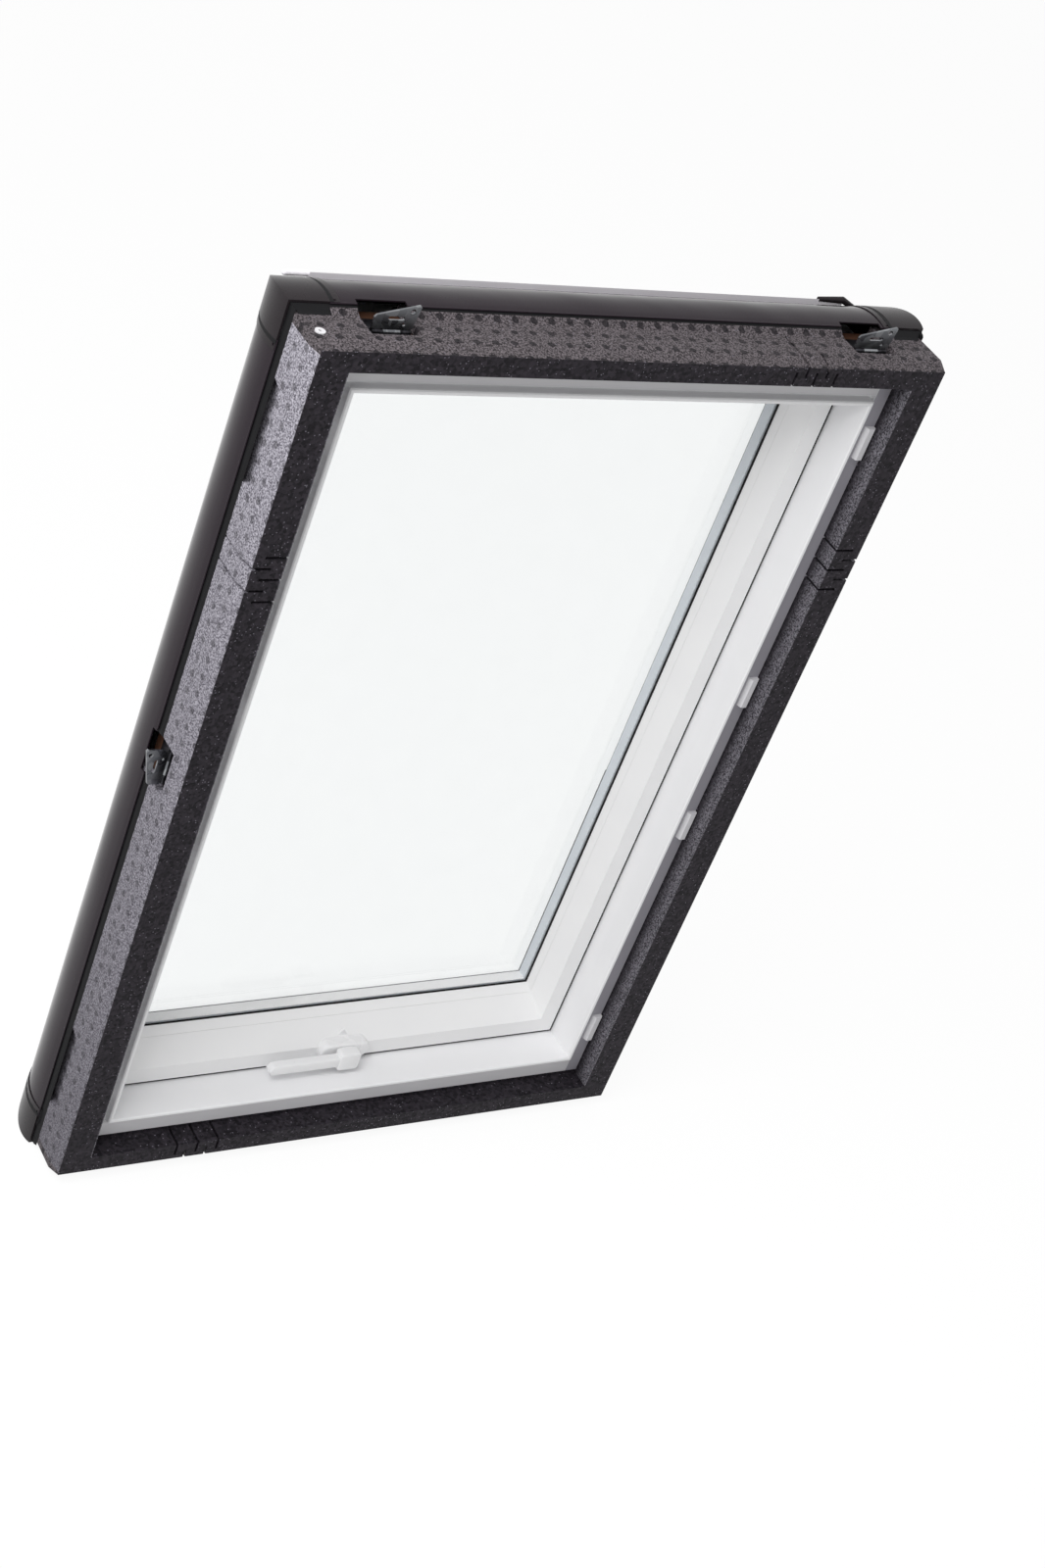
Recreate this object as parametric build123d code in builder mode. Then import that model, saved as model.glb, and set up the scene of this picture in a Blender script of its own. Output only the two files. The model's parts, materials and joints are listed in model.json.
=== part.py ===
"""Centre-pivot roof window with its insulating foam block, fold-out brackets and cladding."""

import os

from build123d import *

# The origin is midway between the screw holes of the two side brackets, on their fixing plane.
# +X is right as seen from the room, +Y is out through the roof, +Z is up the slope.
# Every depth is measured outwards from the room face of the foam block.
# Every inset is measured inwards from the outside of the frame.
frame_width = 780.0
frame_height = 1180.0
bracket_depth = 44.0
bracket_rise = 46.0
overrun = 2.0
fit_gap = 0.3
running_fit = 0.05
edge_ease = 1.5

# Foam block
foam_side = 40.0
foam_end = 35.0
foam_depth = 92.0
foam_edge_in = 5.0
foam_edge_depth = 20.0
foam_side_lip = 5.0
foam_end_relief = 5.0
foam_seam_drop = 24.0
kerf_width = 3.5
kerf_pitch = 15.0
kerf_share = 0.62
side_kerf_margin = 262.0
end_kerf_margin = 158.0
pocket_margin = 40.0
pocket_length = 138.0
pocket_depth = 47.0
pocket_sink = 9.0
pocket_slant = 8.0
rivet_radius = 6.0
rivet_hole_radius = 2.0
rivet_head = 1.5
rivet_edge = 15.0
rivet_depth = 30.0

# Frame section
rebate_depth = 31.0
lip_depth = 23.0
lip_setback = 29.0
lip_width = 6.0
groove_width = 5.0
groove_depth = 37.0
bar_width = 36.0
crease_depth = 52.0
frame_depth = 152.5

# Lining clips in the rebate
clip_length = 45.0
clip_inset = 6.0
clip_width = 14.0
clip_height = 8.0
clip_bevel = 3.0
clip_fall = 6.0
clip_end_margin = 90.0
clip_upper_rise = 112.0
clip_lower_drop = 117.0

# Sash section: a flat face, then walls that slope in to the glass. Shares are of the rail's width
sash_gap = 3.0
stile_width = 45.0
bottom_rail_width = 66.0
face_depth = 77.0
face_width = 26.0
throat_depth = 39.0
back_depth = 148.0
flange_drop = 3.0
bead_share = 0.72
nose_share = 0.87
flange_share = 0.978

# Glazing
bead_height = 10.5
glazing_seal = 1.0
seal_show = 3.0
pane = 4.0
cavity = 16.0
glass_share = 0.75
seal_share = 0.9
spacer_share = 0.87
spacer_show = 4.0

# Seal round the sash edge
edge_seal_depth = 81.0
edge_seal_width = 3.5
edge_seal_proud = 2.0

# Centre pivot
pivot_depth = 112.0
pivot_pin_radius = 6.0
pivot_pin_length = 40.0
pivot_pin_seat = 18.0
pivot_bore_gap = 0.5
pivot_plate_length = 90.0
pivot_plate_width = 14.0
pivot_plate_gauge = 2.5

# Handle
handle_inset = 59.5
rosette_length = 78.0
rosette_height = 28.0
rosette_proud = 10.0
rosette_skirt = 14.0
spindle_side = 8.0
spindle_bore = 16.0
hub_length = 20.0
hub_height = 29.0
hub_corner = 5.0
hub_tail = 14.0
neck_radius = 12.0
grip_reach = 124.0
grip_root_height = 20.0
grip_tip_height = 18.0
grip_gauge = 14.0
grip_edge = 2.5
lever_standoff = 16.0
wedge_inset = 68.0
wedge_depth = 86.0
wedge_width = 26.0
wedge_height = 16.0
wedge_gauge = 4.0

# Lock in the bottom rail
lock_depth = 105.0
lock_groove_width = 12.0
lock_groove_sink = 7.0
lock_half_length = 275.0
lock_travel = 18.0
faceplate_gauge = 2.5
rod_gauge = 3.0
cam_reach = 220.0
cam_radius = 4.0
cam_drop = 10.0
cam_slot_gap = 1.0
gearbox_length = 70.0
gearbox_top = 18.0
gearbox_gauge = 14.0
gearbox_bore_radius = 6.5
keep_sink = 12.0
keep_gauge = 2.0
keep_margin = 8.0
keep_hook_gauge = 3.0
keep_hook_gap = 3.0
keep_mouth = 5.0

# Fold-out brackets
top_bracket_left_margin = 68.0
top_bracket_right_margin = 52.0
bracket_pocket_width = 62.0
bracket_pocket_depth = 30.0
bracket_sink = 11.0
hinge_sink = 6.0
knuckle_radius = 3.5
knuckle_length = 13.0
knuckle_gap = 0.5
tongue_length = 21.0
hinge_pin_radius = 1.75
leaf_gauge = 1.5
leaf_width = 56.0
leaf_depth = 44.0
plate_gauge = 2.5
plate_width = 50.0
plate_short = 20.0
plate_tall = 34.0
plate_lean = 4.0
plate_root = 4.4
plate_corner = 2.5
slot_length = 20.0
slot_width = 4.5
slot_rise = 17.0
slot_shift = 2.0
screw_hole_radius = 3.0
screw_hole_rise = 26.0
screw_hole_shift = 19.5
pilot_hole_radius = 2.2
pilot_hole_rise = 10.0
pilot_hole_shift = 13.0

# Collar of cladding outside the foam
collar_reach = 44.0
hem_depth = 74.0
shoulder_reach = 40.5
shoulder_depth = 126.0
crown_reach = 23.0
crown_depth = 154.0
collar_land = 26.0
sheet_gauge = 1.5
cap_lift = 1.2
cap_leg = 48.0
strap_width = 13.0
strap_lift = 0.9
strap_hole = 3.6
strap_hole_count = 5
strap_hole_pitch = 8.0
skirt_depth = 63.0
skirt_rise = 4.0
skirt_proud = 1.5
skirt_clear = 0.4

# Outer covers
hood_margin = 20.0
hood_front = 33.0
hood_reach = 66.0
hood_crown = 12.0
cover_gauge = 3.0
cover_front = 16.0
cover_reach = 60.0
cover_slope = 4.0
cover_start = 104.0
cap_front = 14.0
cap_reach = 30.0
cap_gauge = 6.0
cap_low = 108.0
cap_high = 102.0
cap_bevel = 1.5
lower_cover_start = 114.0
lower_cover_rise = 8.2
lower_cover_top = 10.5
lower_cover_lip = 1.0
lower_overlap_share = 0.5
lower_slope_share = 0.42
lower_shoulder_share = 0.5
lower_edge_share = 0.93
upper_cover_gauge = 3.0
upper_shoulder_share = 0.75
cover_edge_share = 0.05

# Worked out from the sizes above
mid_z = -bracket_rise
half_width = frame_width / 2
half_height = frame_height / 2
block_width = frame_width + 2 * foam_side
block_height = frame_height + 2 * foam_end
opening_width = frame_width - 2 * foam_side_lip
opening_height = frame_height + 2 * foam_end_relief
sash_inset = bar_width + sash_gap
sash_half_width = half_width - sash_inset
sash_half_height = half_height - sash_inset
seat_depth = face_depth + throat_depth
bead_front = seat_depth - bead_height
inner_pane_depth = seat_depth + glazing_seal
cavity_depth = inner_pane_depth + pane
outer_pane_depth = cavity_depth + cavity
glass_back = outer_pane_depth + pane
flange_seat = glass_back + glazing_seal
handle_z = -half_height + handle_inset
handle_in_rail = handle_inset - sash_inset
rail_widths = {"left": stile_width, "right": stile_width, "top": stile_width, "bottom": bottom_rail_width}

outward = Vector(0, 1, 0)
inward = {
    "left": Vector(1, 0, 0),
    "right": Vector(-1, 0, 0),
    "top": Vector(0, 0, -1),
    "bottom": Vector(0, 0, 1),
}
neighbours = {
    "left": ("bottom", "top"),
    "right": ("bottom", "top"),
    "top": ("left", "right"),
    "bottom": ("left", "right"),
}
equal_widths = dict.fromkeys(inward, bar_width)
corners = (("top", "left"), ("top", "right"), ("bottom", "left"), ("bottom", "right"))
pieces = {}


def run_axis(side):
    """Direction that a bar on this side runs in."""
    return Vector(0, 0, 1) if side in ("left", "right") else Vector(1, 0, 0)


def half_reach(side):
    """Distance from the middle of the window to this side of the frame."""
    return half_width if side in ("left", "right") else half_height


def half_run(side):
    """Half of the frame's length along this side."""
    return half_height if side in ("left", "right") else half_width


def window_point(x, depth, z):
    """Point given from the middle of the window and the room face of the foam."""
    return Vector(x, depth - bracket_depth, z + mid_z)


def window_plane(depth):
    """Plane along the window, seen from the room. A negative extrusion goes outwards."""
    return Plane(origin=window_point(0, depth, 0), x_dir=(1, 0, 0), z_dir=-outward)


def handle_plane(depth):
    """Window plane with its middle on the handle's axis."""
    return Plane(origin=window_point(0, depth, handle_z), x_dir=(1, 0, 0), z_dir=-outward)


def section_plane(side, inset=0):
    """Plane across a bar at mid run, with x inwards from the inset and y as depth."""
    into = inward[side]
    edge = window_point(0, 0, 0) - into * (half_reach(side) - inset)
    return Plane(origin=edge, x_dir=into, z_dir=into.cross(outward))


def face_plane(side, inset):
    """Plane on the outside of one side, with y as depth. An extrusion goes inwards."""
    into = inward[side]
    edge = window_point(0, 0, 0) - into * (half_reach(side) - inset)
    return Plane(origin=edge, x_dir=outward.cross(into), z_dir=into)


def face_sign(side):
    """Sign of the run axis in the face plane of this side."""
    return 1 if side in ("right", "bottom") else -1


def mitre_plane(side, end, inset, widths):
    """Plane of the mitre at one end of a bar, facing out of the bar."""
    into = inward[side]
    along = run_axis(side) * end
    neighbour = neighbours[side][0 if end < 0 else 1]
    corner = window_point(0, 0, 0) - into * (half_reach(side) - inset)
    corner = corner + along * (half_run(side) - inset)
    return Plane(origin=corner, z_dir=along * widths[side] + into * widths[neighbour])


def start_plane(side, inset, low, high):
    """Section plane at the end of a run from which a positive extrusion covers it."""
    plane = section_plane(side, inset)
    return plane.offset(low if plane.z_dir.dot(run_axis(side)) > 0 else -high)


def run_bar(side, draw, inset=0, low=None, high=None, widths=None, cuts=None):
    """Bar along one side. An end with no stop is cut to the mitre of its corner."""
    widths = widths or equal_widths
    long_run = half_run(side) + 2 * collar_reach
    first = -long_run if low is None else low
    last = long_run if high is None else high
    profile = draw(start_plane(side, inset, first, last))
    with BuildPart() as bar:
        extrude(profile, amount=last - first)
        for end, stop in ((-1, low), (1, high)):
            if stop is None:
                split(bisect_by=mitre_plane(side, end, inset, widths), keep=Keep.BOTTOM)
        if cuts:
            cuts()
    return bar


def polygon(plane, points, eased=()):
    """Closed outline through the points, on a plane, with the edges at some points eased."""
    with BuildSketch(plane) as outline:
        with BuildLine():
            Polyline(*points, close=True)
        make_face()
        corners = [outline.vertices().sort_by_distance(points[index])[0] for index in eased]
        if corners:
            chamfer(corners, edge_ease)
    return outline.sketch


def sight(share, extra=0):
    """Width, height and middle of the rectangle that lies a share of the rails inside the sash."""
    low = sash_half_height - share * bottom_rail_width - extra
    high = sash_half_height - share * stile_width - extra
    width = 2 * (sash_half_width - share * stile_width - extra)
    return width, low + high, (high - low) / 2


def sight_slab(share, depth, thickness, extra=0, mode=Mode.ADD):
    """Slab of the glazing over one sight rectangle."""
    width, height, middle = sight(share, extra)
    with BuildSketch(window_plane(depth)) as slab:
        with Locations((0, middle)):
            Rectangle(width, height)
    extrude(slab.sketch, amount=-thickness, mode=mode)


def sight_funnel(mode):
    """Space between the sloping walls, from the face of the sash to the glazing."""
    width, height, middle = sight(1)
    with BuildSketch(window_plane(face_depth)) as mouth:
        Rectangle(2 * (sash_half_width - face_width), 2 * (sash_half_height - face_width))
    with BuildSketch(window_plane(seat_depth)) as seat:
        with Locations((0, middle)):
            Rectangle(width, height)
    loft([mouth.sketch, seat.sketch], mode=mode)


def cut_box(side, place, inset, sink, depth, across, along):
    """Cuts a box into the active part from the face at an inset."""
    with BuildSketch(face_plane(side, inset)) as mouth:
        with Locations((face_sign(side) * place, depth + across / 2)):
            Rectangle(along, across)
    extrude(mouth.sketch, amount=sink, mode=Mode.SUBTRACT)


# Foam block: the head and sill pieces run the full width, the side pieces stand between them
bracket_sites = [("top", top_bracket_left_margin - half_width)]
bracket_sites += [("top", half_width - top_bracket_right_margin)]
bracket_sites += [(side, bracket_rise - screw_hole_shift) for side in ("left", "right")]
foam_walls = {"left": foam_side, "right": foam_side, "top": foam_end, "bottom": foam_end}


def foam_kerfs(side):
    """Expansion cuts: two from the outside between three from the inside."""
    into = inward[side]
    outer = foam_walls[side]
    inner = foam_side_lip if side in ("left", "right") else -foam_end_relief
    length = kerf_share * (outer + inner)
    middle = half_height - side_kerf_margin
    if side in ("top", "bottom"):
        middle = (half_width - end_kerf_margin) * -face_sign(side)
    with BuildSketch(window_plane(-overrun)) as kerfs:
        for step in (-2, -1, 0, 1, 2):
            from_inside = step % 2 == 0
            edge = inner - length / 2 if from_inside else -outer + length / 2
            stretch = overrun if from_inside else -overrun
            spot = run_axis(side) * (middle + step * kerf_pitch)
            spot = spot - into * (half_reach(side) - edge - stretch / 2)
            wide = length + overrun
            size = (wide, kerf_width) if side in ("left", "right") else (kerf_width, wide)
            with Locations((spot.X, spot.Z)):
                Rectangle(*size)
    extrude(kerfs.sketch, amount=-(foam_depth + 2 * overrun), mode=Mode.SUBTRACT)


def foam_zone(side):
    """Keeps the part of the block that belongs to one piece."""
    seam = block_height / 2 - foam_seam_drop
    with BuildSketch(window_plane(-overrun)) as zone:
        if side in ("left", "right"):
            wall = (block_width - opening_width) / 2
            with Locations((-inward[side].X * (block_width - wall) / 2, 0)):
                Rectangle(wall, 2 * seam)
        else:
            up = -inward[side].Z
            with Locations((0, up * (seam + foam_seam_drop / 2))):
                Rectangle(block_width, foam_seam_drop)
            with Locations((0, up * block_height / 4)):
                Rectangle(opening_width, block_height / 2)
    extrude(zone.sketch, amount=-(foam_depth + 2 * overrun), mode=Mode.INTERSECT)


def side_pockets(side):
    """Slanted pockets in the outer face of a side piece."""
    for up in (-1, 1):
        far = up * (half_height - pocket_margin)
        near = far - up * pocket_length
        pocket = polygon(face_plane(side, -foam_side), [
            (near - up * pocket_slant, foam_depth + overrun),
            (near + up * pocket_slant, pocket_depth),
            (far - up * pocket_slant, pocket_depth),
            (far + up * pocket_slant, foam_depth + overrun),
        ])
        extrude(pocket, amount=pocket_sink, mode=Mode.SUBTRACT)


def foam_piece(side):
    """One of the four moulded foam pieces."""
    with BuildPart() as foam:
        with BuildSketch(window_plane(0)):
            Rectangle(block_width - 2 * foam_edge_in, block_height - 2 * foam_edge_in)
        with BuildSketch(window_plane(foam_edge_depth)):
            Rectangle(block_width, block_height)
        loft()
        with BuildSketch(window_plane(foam_edge_depth)):
            Rectangle(block_width, block_height)
        extrude(amount=foam_edge_depth - foam_depth)
        with BuildSketch(window_plane(0)):
            Rectangle(opening_width, opening_height)
        extrude(amount=-rebate_depth, mode=Mode.SUBTRACT)
        with BuildSketch(window_plane(rebate_depth)):
            Rectangle(frame_width, frame_height)
        extrude(amount=rebate_depth - foam_depth, mode=Mode.SUBTRACT)
        foam_zone(side)
        foam_kerfs(side)
        if side in ("left", "right"):
            side_pockets(side)
        for site, place in bracket_sites:
            if site == side:
                deep = foam_depth - bracket_pocket_depth + overrun
                wall = foam_walls[side]
                cut_box(side, place, -wall, wall, bracket_pocket_depth, deep, bracket_pocket_width)
    return foam


for side in inward:
    pieces[f"foam_{side}"] = foam_piece(side)

with BuildPart() as foam_rivet:
    rivet_place = face_sign("top") * (rivet_edge - block_width / 2)
    with BuildSketch(face_plane("top", -foam_end)):
        with Locations((rivet_place, rivet_depth)):
            Circle(rivet_radius)
            Circle(rivet_hole_radius, mode=Mode.SUBTRACT)
    extrude(amount=-rivet_head)
pieces["foam_rivet"] = foam_rivet


# Frame: four welded bars with a lip towards the room and a rebate for the lining
def draw_frame(plane):
    return polygon(plane, [
        (0, rebate_depth),
        (lip_setback - groove_width, rebate_depth),
        (lip_setback - groove_width, groove_depth),
        (lip_setback, groove_depth),
        (lip_setback, lip_depth),
        (lip_setback + lip_width, lip_depth),
        (bar_width, crease_depth),
        (bar_width, frame_depth),
        (0, frame_depth),
    ], eased=(4, 5))


def pivot_bore(side, inset, length, radius):
    """Round hole along the pivot axis, from an inset inwards."""
    with BuildSketch(face_plane(side, inset)) as bore:
        with Locations((0, pivot_depth)):
            Circle(radius)
    extrude(bore.sketch, amount=length, mode=Mode.SUBTRACT)


cam_places = (-cam_reach, cam_reach)
keep_low = cam_radius + keep_margin
keep_high = lock_travel + cam_radius + keep_margin
keep_front = lock_depth - cam_radius - keep_mouth
plate_front = pivot_depth - pivot_plate_width / 2


def frame_cuts(side):
    """Seats of the pivots in the side bars, and of the lock keeps in the sill."""
    if side in ("left", "right"):
        inset = bar_width - pivot_plate_gauge
        cut_box(side, 0, inset, pivot_plate_gauge, plate_front, pivot_plate_width, pivot_plate_length)
        pivot_bore(side, pivot_pin_seat, bar_width, pivot_pin_radius + running_fit)
    if side == "bottom":
        for place in cam_places:
            middle = place + (keep_high - keep_low) / 2
            deep = frame_depth - keep_front
            cut_box(side, middle, bar_width - keep_sink, keep_sink, keep_front, deep, keep_low + keep_high)


for side in inward:
    pieces[f"frame_{side}"] = run_bar(side, draw_frame, cuts=lambda: frame_cuts(side))

with BuildPart() as lining_clips:
    clip_top = rebate_depth - clip_height
    clip_end_rise = half_height - clip_end_margin
    clip_rises = (clip_end_rise, clip_upper_rise, -clip_lower_drop, -clip_end_rise)
    for side in ("left", "right"):
        for rise in clip_rises:
            plane = start_plane(side, clip_inset, rise - clip_length / 2, rise + clip_length / 2)
            clip = polygon(plane, [
                (0, rebate_depth),
                (0, clip_top + clip_bevel),
                (clip_bevel, clip_top),
                (clip_width - clip_bevel, clip_top),
                (clip_width, clip_top + clip_fall),
                (clip_width, rebate_depth),
            ])
            extrude(clip, amount=clip_length)
pieces["lining_clips"] = lining_clips


# Sash: four welded bars, with a wider rail at the bottom
def draw_sash(plane, width):
    """Bar before the slope of its wall and the seat of the glazing are cut."""
    return polygon(plane, [
        (0, face_depth),
        (flange_share * width, face_depth),
        (flange_share * width, flange_seat + flange_drop),
        (nose_share * width, back_depth),
        (0, back_depth),
    ], eased=(0,))


def draw_bead(plane, width):
    """Bead before the slope of the wall is cut."""
    return polygon(plane, [
        (bead_share * width, bead_front + fit_gap),
        (width, bead_front + fit_gap),
        (width, seat_depth),
        (bead_share * width, seat_depth),
    ])


groove_front = lock_depth - lock_groove_width / 2
gearbox_high = handle_in_rail + gearbox_top
gearbox_front = groove_front - fit_gap


def sash_cuts(side):
    """Wall, seats of the glazing and the pivots, and of the lock and handle in the bottom rail."""
    sight_funnel(Mode.SUBTRACT)
    sight_slab(bead_share, bead_front, flange_seat - bead_front, mode=Mode.SUBTRACT)
    if side in ("left", "right"):
        cut_box(side, 0, sash_inset, pivot_plate_gauge, plate_front, pivot_plate_width, pivot_plate_length)
        bore = pivot_pin_length + pivot_pin_seat - sash_inset + pivot_bore_gap
        pivot_bore(side, sash_inset, bore, pivot_pin_radius + pivot_bore_gap)
    if side == "bottom":
        cut_box(side, 0, sash_inset, lock_groove_sink, groove_front, lock_groove_width, 2 * lock_half_length)
        across = gearbox_gauge + 2 * fit_gap
        along = gearbox_length + 2 * fit_gap
        cut_box(side, 0, sash_inset, gearbox_high + fit_gap, gearbox_front - fit_gap, across, along)
        with BuildSketch(handle_plane(face_depth - overrun)) as bore:
            Rectangle(spindle_bore, spindle_bore)
        extrude(bore.sketch, amount=face_depth - overrun - gearbox_front, mode=Mode.SUBTRACT)


for side, width in rail_widths.items():
    pieces[f"sash_{side}"] = run_bar(
        side, lambda plane: draw_sash(plane, width), sash_inset, widths=rail_widths,
        cuts=lambda: sash_cuts(side))
    pieces[f"bead_{side}"] = run_bar(
        side, lambda plane: draw_bead(plane, width), sash_inset, widths=rail_widths,
        cuts=lambda: sight_funnel(Mode.SUBTRACT))

# Glazing: two panes with a spacer between them, held between two seals
with BuildPart() as inner_seal:
    sight_slab(seal_share, seat_depth, glazing_seal)
    sight_slab(1, seat_depth, glazing_seal, seal_show, Mode.SUBTRACT)
pieces["inner_glazing_seal"] = inner_seal

with BuildPart() as inner_pane:
    sight_slab(glass_share, inner_pane_depth, pane)
pieces["inner_pane"] = inner_pane

with BuildPart() as spacer:
    sight_slab(spacer_share, cavity_depth, cavity)
    sight_slab(1, cavity_depth, cavity, spacer_show, Mode.SUBTRACT)
pieces["pane_spacer"] = spacer

with BuildPart() as outer_pane:
    sight_slab(glass_share, outer_pane_depth, pane)
pieces["outer_pane"] = outer_pane

with BuildPart() as outer_seal:
    sight_slab(glass_share, glass_back, glazing_seal)
    sight_slab(flange_share, glass_back, glazing_seal, seal_show, Mode.SUBTRACT)
pieces["outer_glazing_seal"] = outer_seal

with BuildPart() as edge_seal:
    with BuildSketch(window_plane(edge_seal_depth)):
        Rectangle(2 * (sash_half_width + edge_seal_proud), 2 * (sash_half_height + edge_seal_proud))
        Rectangle(2 * sash_half_width, 2 * sash_half_height, mode=Mode.SUBTRACT)
    extrude(amount=-edge_seal_width)
pieces["sash_edge_seal"] = edge_seal


# Centre pivots: a plate with a riveted pin on the frame, and a plate with its hole on the sash
def pivot_plate(side, inset):
    with BuildSketch(face_plane(side, inset)) as plate:
        with Locations((0, pivot_depth)):
            Rectangle(pivot_plate_length, pivot_plate_width)
    extrude(plate.sketch, amount=pivot_plate_gauge)


def pivot_pin(side, radius, mode):
    with BuildSketch(face_plane(side, pivot_pin_seat)) as pin:
        with Locations((0, pivot_depth)):
            Circle(radius)
    extrude(pin.sketch, amount=pivot_pin_length, mode=mode)


for side in ("left", "right"):
    with BuildPart() as frame_pivot:
        pivot_plate(side, bar_width - pivot_plate_gauge)
        pivot_pin(side, pivot_pin_radius, Mode.ADD)
    pieces[f"frame_pivot_{side}"] = frame_pivot
    with BuildPart() as sash_pivot:
        pivot_plate(side, sash_inset)
        pivot_pin(side, pivot_pin_radius + running_fit, Mode.SUBTRACT)
    pieces[f"sash_pivot_{side}"] = sash_pivot

# Handle: rosette seated on the rail, lever and square spindle
rosette_front = face_depth - rosette_proud
hub_back = rosette_front - fit_gap
grip_front = face_depth - lever_standoff - grip_gauge

with BuildPart() as rosette:
    with BuildSketch(handle_plane(face_depth)) as stadium:
        SlotOverall(rosette_length, rosette_height)
        Rectangle(spindle_bore, spindle_bore, mode=Mode.SUBTRACT)
    extrude(amount=-rosette_skirt)
    sight_funnel(Mode.INTERSECT)
    extrude(stadium.sketch, amount=rosette_proud)
    front = rosette.faces().sort_by(Axis.Y)[0]
    chamfer(front.outer_wire().edges(), grip_edge)
pieces["handle_rosette"] = rosette

with BuildPart() as lever:
    with BuildSketch(handle_plane(grip_front)) as grip:
        with BuildLine():
            Polyline(
                (hub_tail, -hub_height / 2),
                (hub_tail, hub_height / 2),
                (-hub_tail, hub_height / 2),
                (-hub_tail - hub_length, grip_root_height / 2),
                (-grip_reach, grip_tip_height / 2),
                (-grip_reach, -grip_tip_height / 2),
                (-hub_tail - hub_length, -grip_root_height / 2),
                (-hub_tail, -hub_height / 2),
                close=True,
            )
        make_face()
        chamfer(grip.vertices().group_by(Axis.X)[-1], hub_corner)
        chamfer(grip.vertices().group_by(Axis.X)[0], hub_corner)
    extrude(amount=-grip_gauge)
    chamfer(lever.edges().filter_by(Axis.Y, reverse=True), grip_edge)
    with BuildSketch(handle_plane(grip_front + grip_gauge - grip_edge)):
        Circle(neck_radius)
    extrude(amount=grip_front + grip_gauge - grip_edge - hub_back)
pieces["handle_lever"] = lever

with BuildPart() as spindle:
    with BuildSketch(window_plane(hub_back)):
        with Locations((0, handle_z)):
            Rectangle(spindle_side, spindle_side)
    extrude(amount=hub_back - gearbox_front - gearbox_gauge + fit_gap)
pieces["handle_spindle"] = spindle

with BuildPart() as wedge:
    wedge_low = wedge_inset - half_height
    wedge_points = [(-wedge_width / 2, wedge_low), (wedge_width / 2, wedge_low), (0, wedge_low + wedge_height)]
    extrude(polygon(window_plane(wedge_depth), wedge_points), amount=-wedge_gauge)
    sight_funnel(Mode.INTERSECT)
pieces["catch_wedge"] = wedge

# Lock: gearbox, faceplate, drive rod with two cams, and a hooked keep for each cam
lock_edge = sash_inset + fit_gap
rod_inset = lock_edge + faceplate_gauge + fit_gap
rod_half_length = lock_half_length - lock_travel - overrun

with BuildPart() as gearbox:
    with BuildSketch(face_plane("bottom", sash_inset + lock_groove_sink)):
        with Locations((0, gearbox_front + gearbox_gauge / 2)):
            Rectangle(gearbox_length, gearbox_gauge)
    extrude(amount=gearbox_high - lock_groove_sink)
    with BuildSketch(window_plane(gearbox_front)):
        with Locations((0, handle_z)):
            Circle(gearbox_bore_radius)
    extrude(amount=-gearbox_gauge, mode=Mode.SUBTRACT)
pieces["lock_gearbox"] = gearbox

with BuildPart() as faceplate:
    with BuildSketch(face_plane("bottom", lock_edge)):
        with Locations((0, lock_depth)):
            Rectangle(2 * (lock_half_length - fit_gap), lock_groove_width - 2 * fit_gap)
        slot = lock_travel + 2 * (cam_radius + cam_slot_gap)
        for place in cam_places:
            with Locations((place + lock_travel / 2, lock_depth)):
                SlotOverall(slot, 2 * (cam_radius + cam_slot_gap), mode=Mode.SUBTRACT)
    extrude(amount=faceplate_gauge)
pieces["lock_faceplate"] = faceplate

with BuildPart() as drive_rod:
    with BuildSketch(face_plane("bottom", rod_inset)):
        with Locations((0, lock_depth)):
            Rectangle(2 * rod_half_length, lock_groove_width - 4 * fit_gap)
    extrude(amount=rod_gauge)
    with BuildSketch(face_plane("bottom", sash_inset - cam_drop)):
        for place in cam_places:
            with Locations((place, lock_depth)):
                Circle(cam_radius)
    extrude(amount=rod_inset - sash_inset + cam_drop)
pieces["drive_rod"] = drive_rod

with BuildPart() as keeps:
    keep_floor = bar_width - keep_sink
    hook_front = lock_depth + cam_radius + keep_hook_gap
    for place in cam_places:
        with BuildSketch(face_plane("bottom", keep_floor)):
            with Locations((place + (keep_high - keep_low) / 2, (keep_front + hook_front + keep_hook_gauge) / 2)):
                Rectangle(keep_low + keep_high, hook_front + keep_hook_gauge - keep_front)
        extrude(amount=keep_gauge)
        hook_low = place + cam_radius + keep_mouth
        hook_high = place + keep_high
        with BuildSketch(face_plane("bottom", keep_floor + keep_gauge)):
            with Locations(((hook_low + hook_high) / 2, hook_front + keep_hook_gauge / 2)):
                Rectangle(hook_high - hook_low, keep_hook_gauge)
        extrude(amount=keep_sink - keep_gauge - fit_gap)
pieces["lock_keeps"] = keeps


# Fold-out brackets: insert in the foam, leaf with two knuckles and a riveted pin, and the folding plate
hinge_depth = bracket_depth + plate_gauge / 2


def hinge_plane(side, place, shift):
    """Plane across the hinge axis, with x as depth and y away from the frame."""
    away = -inward[side]
    axis = window_point(0, hinge_depth, 0) + away * (half_reach(side) + foam_walls[side] - hinge_sink)
    axis = axis + run_axis(side) * (place + shift)
    return Plane(origin=axis, x_dir=outward, z_dir=outward.cross(away))


def hinge_round(side, place, shift, length, radius, mode=Mode.ADD):
    """Cylinder on the hinge axis, centred at a shift along it."""
    with BuildSketch(hinge_plane(side, place, shift)) as ring:
        Circle(radius)
    extrude(ring.sketch, amount=length / 2, both=True, mode=mode)


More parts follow.
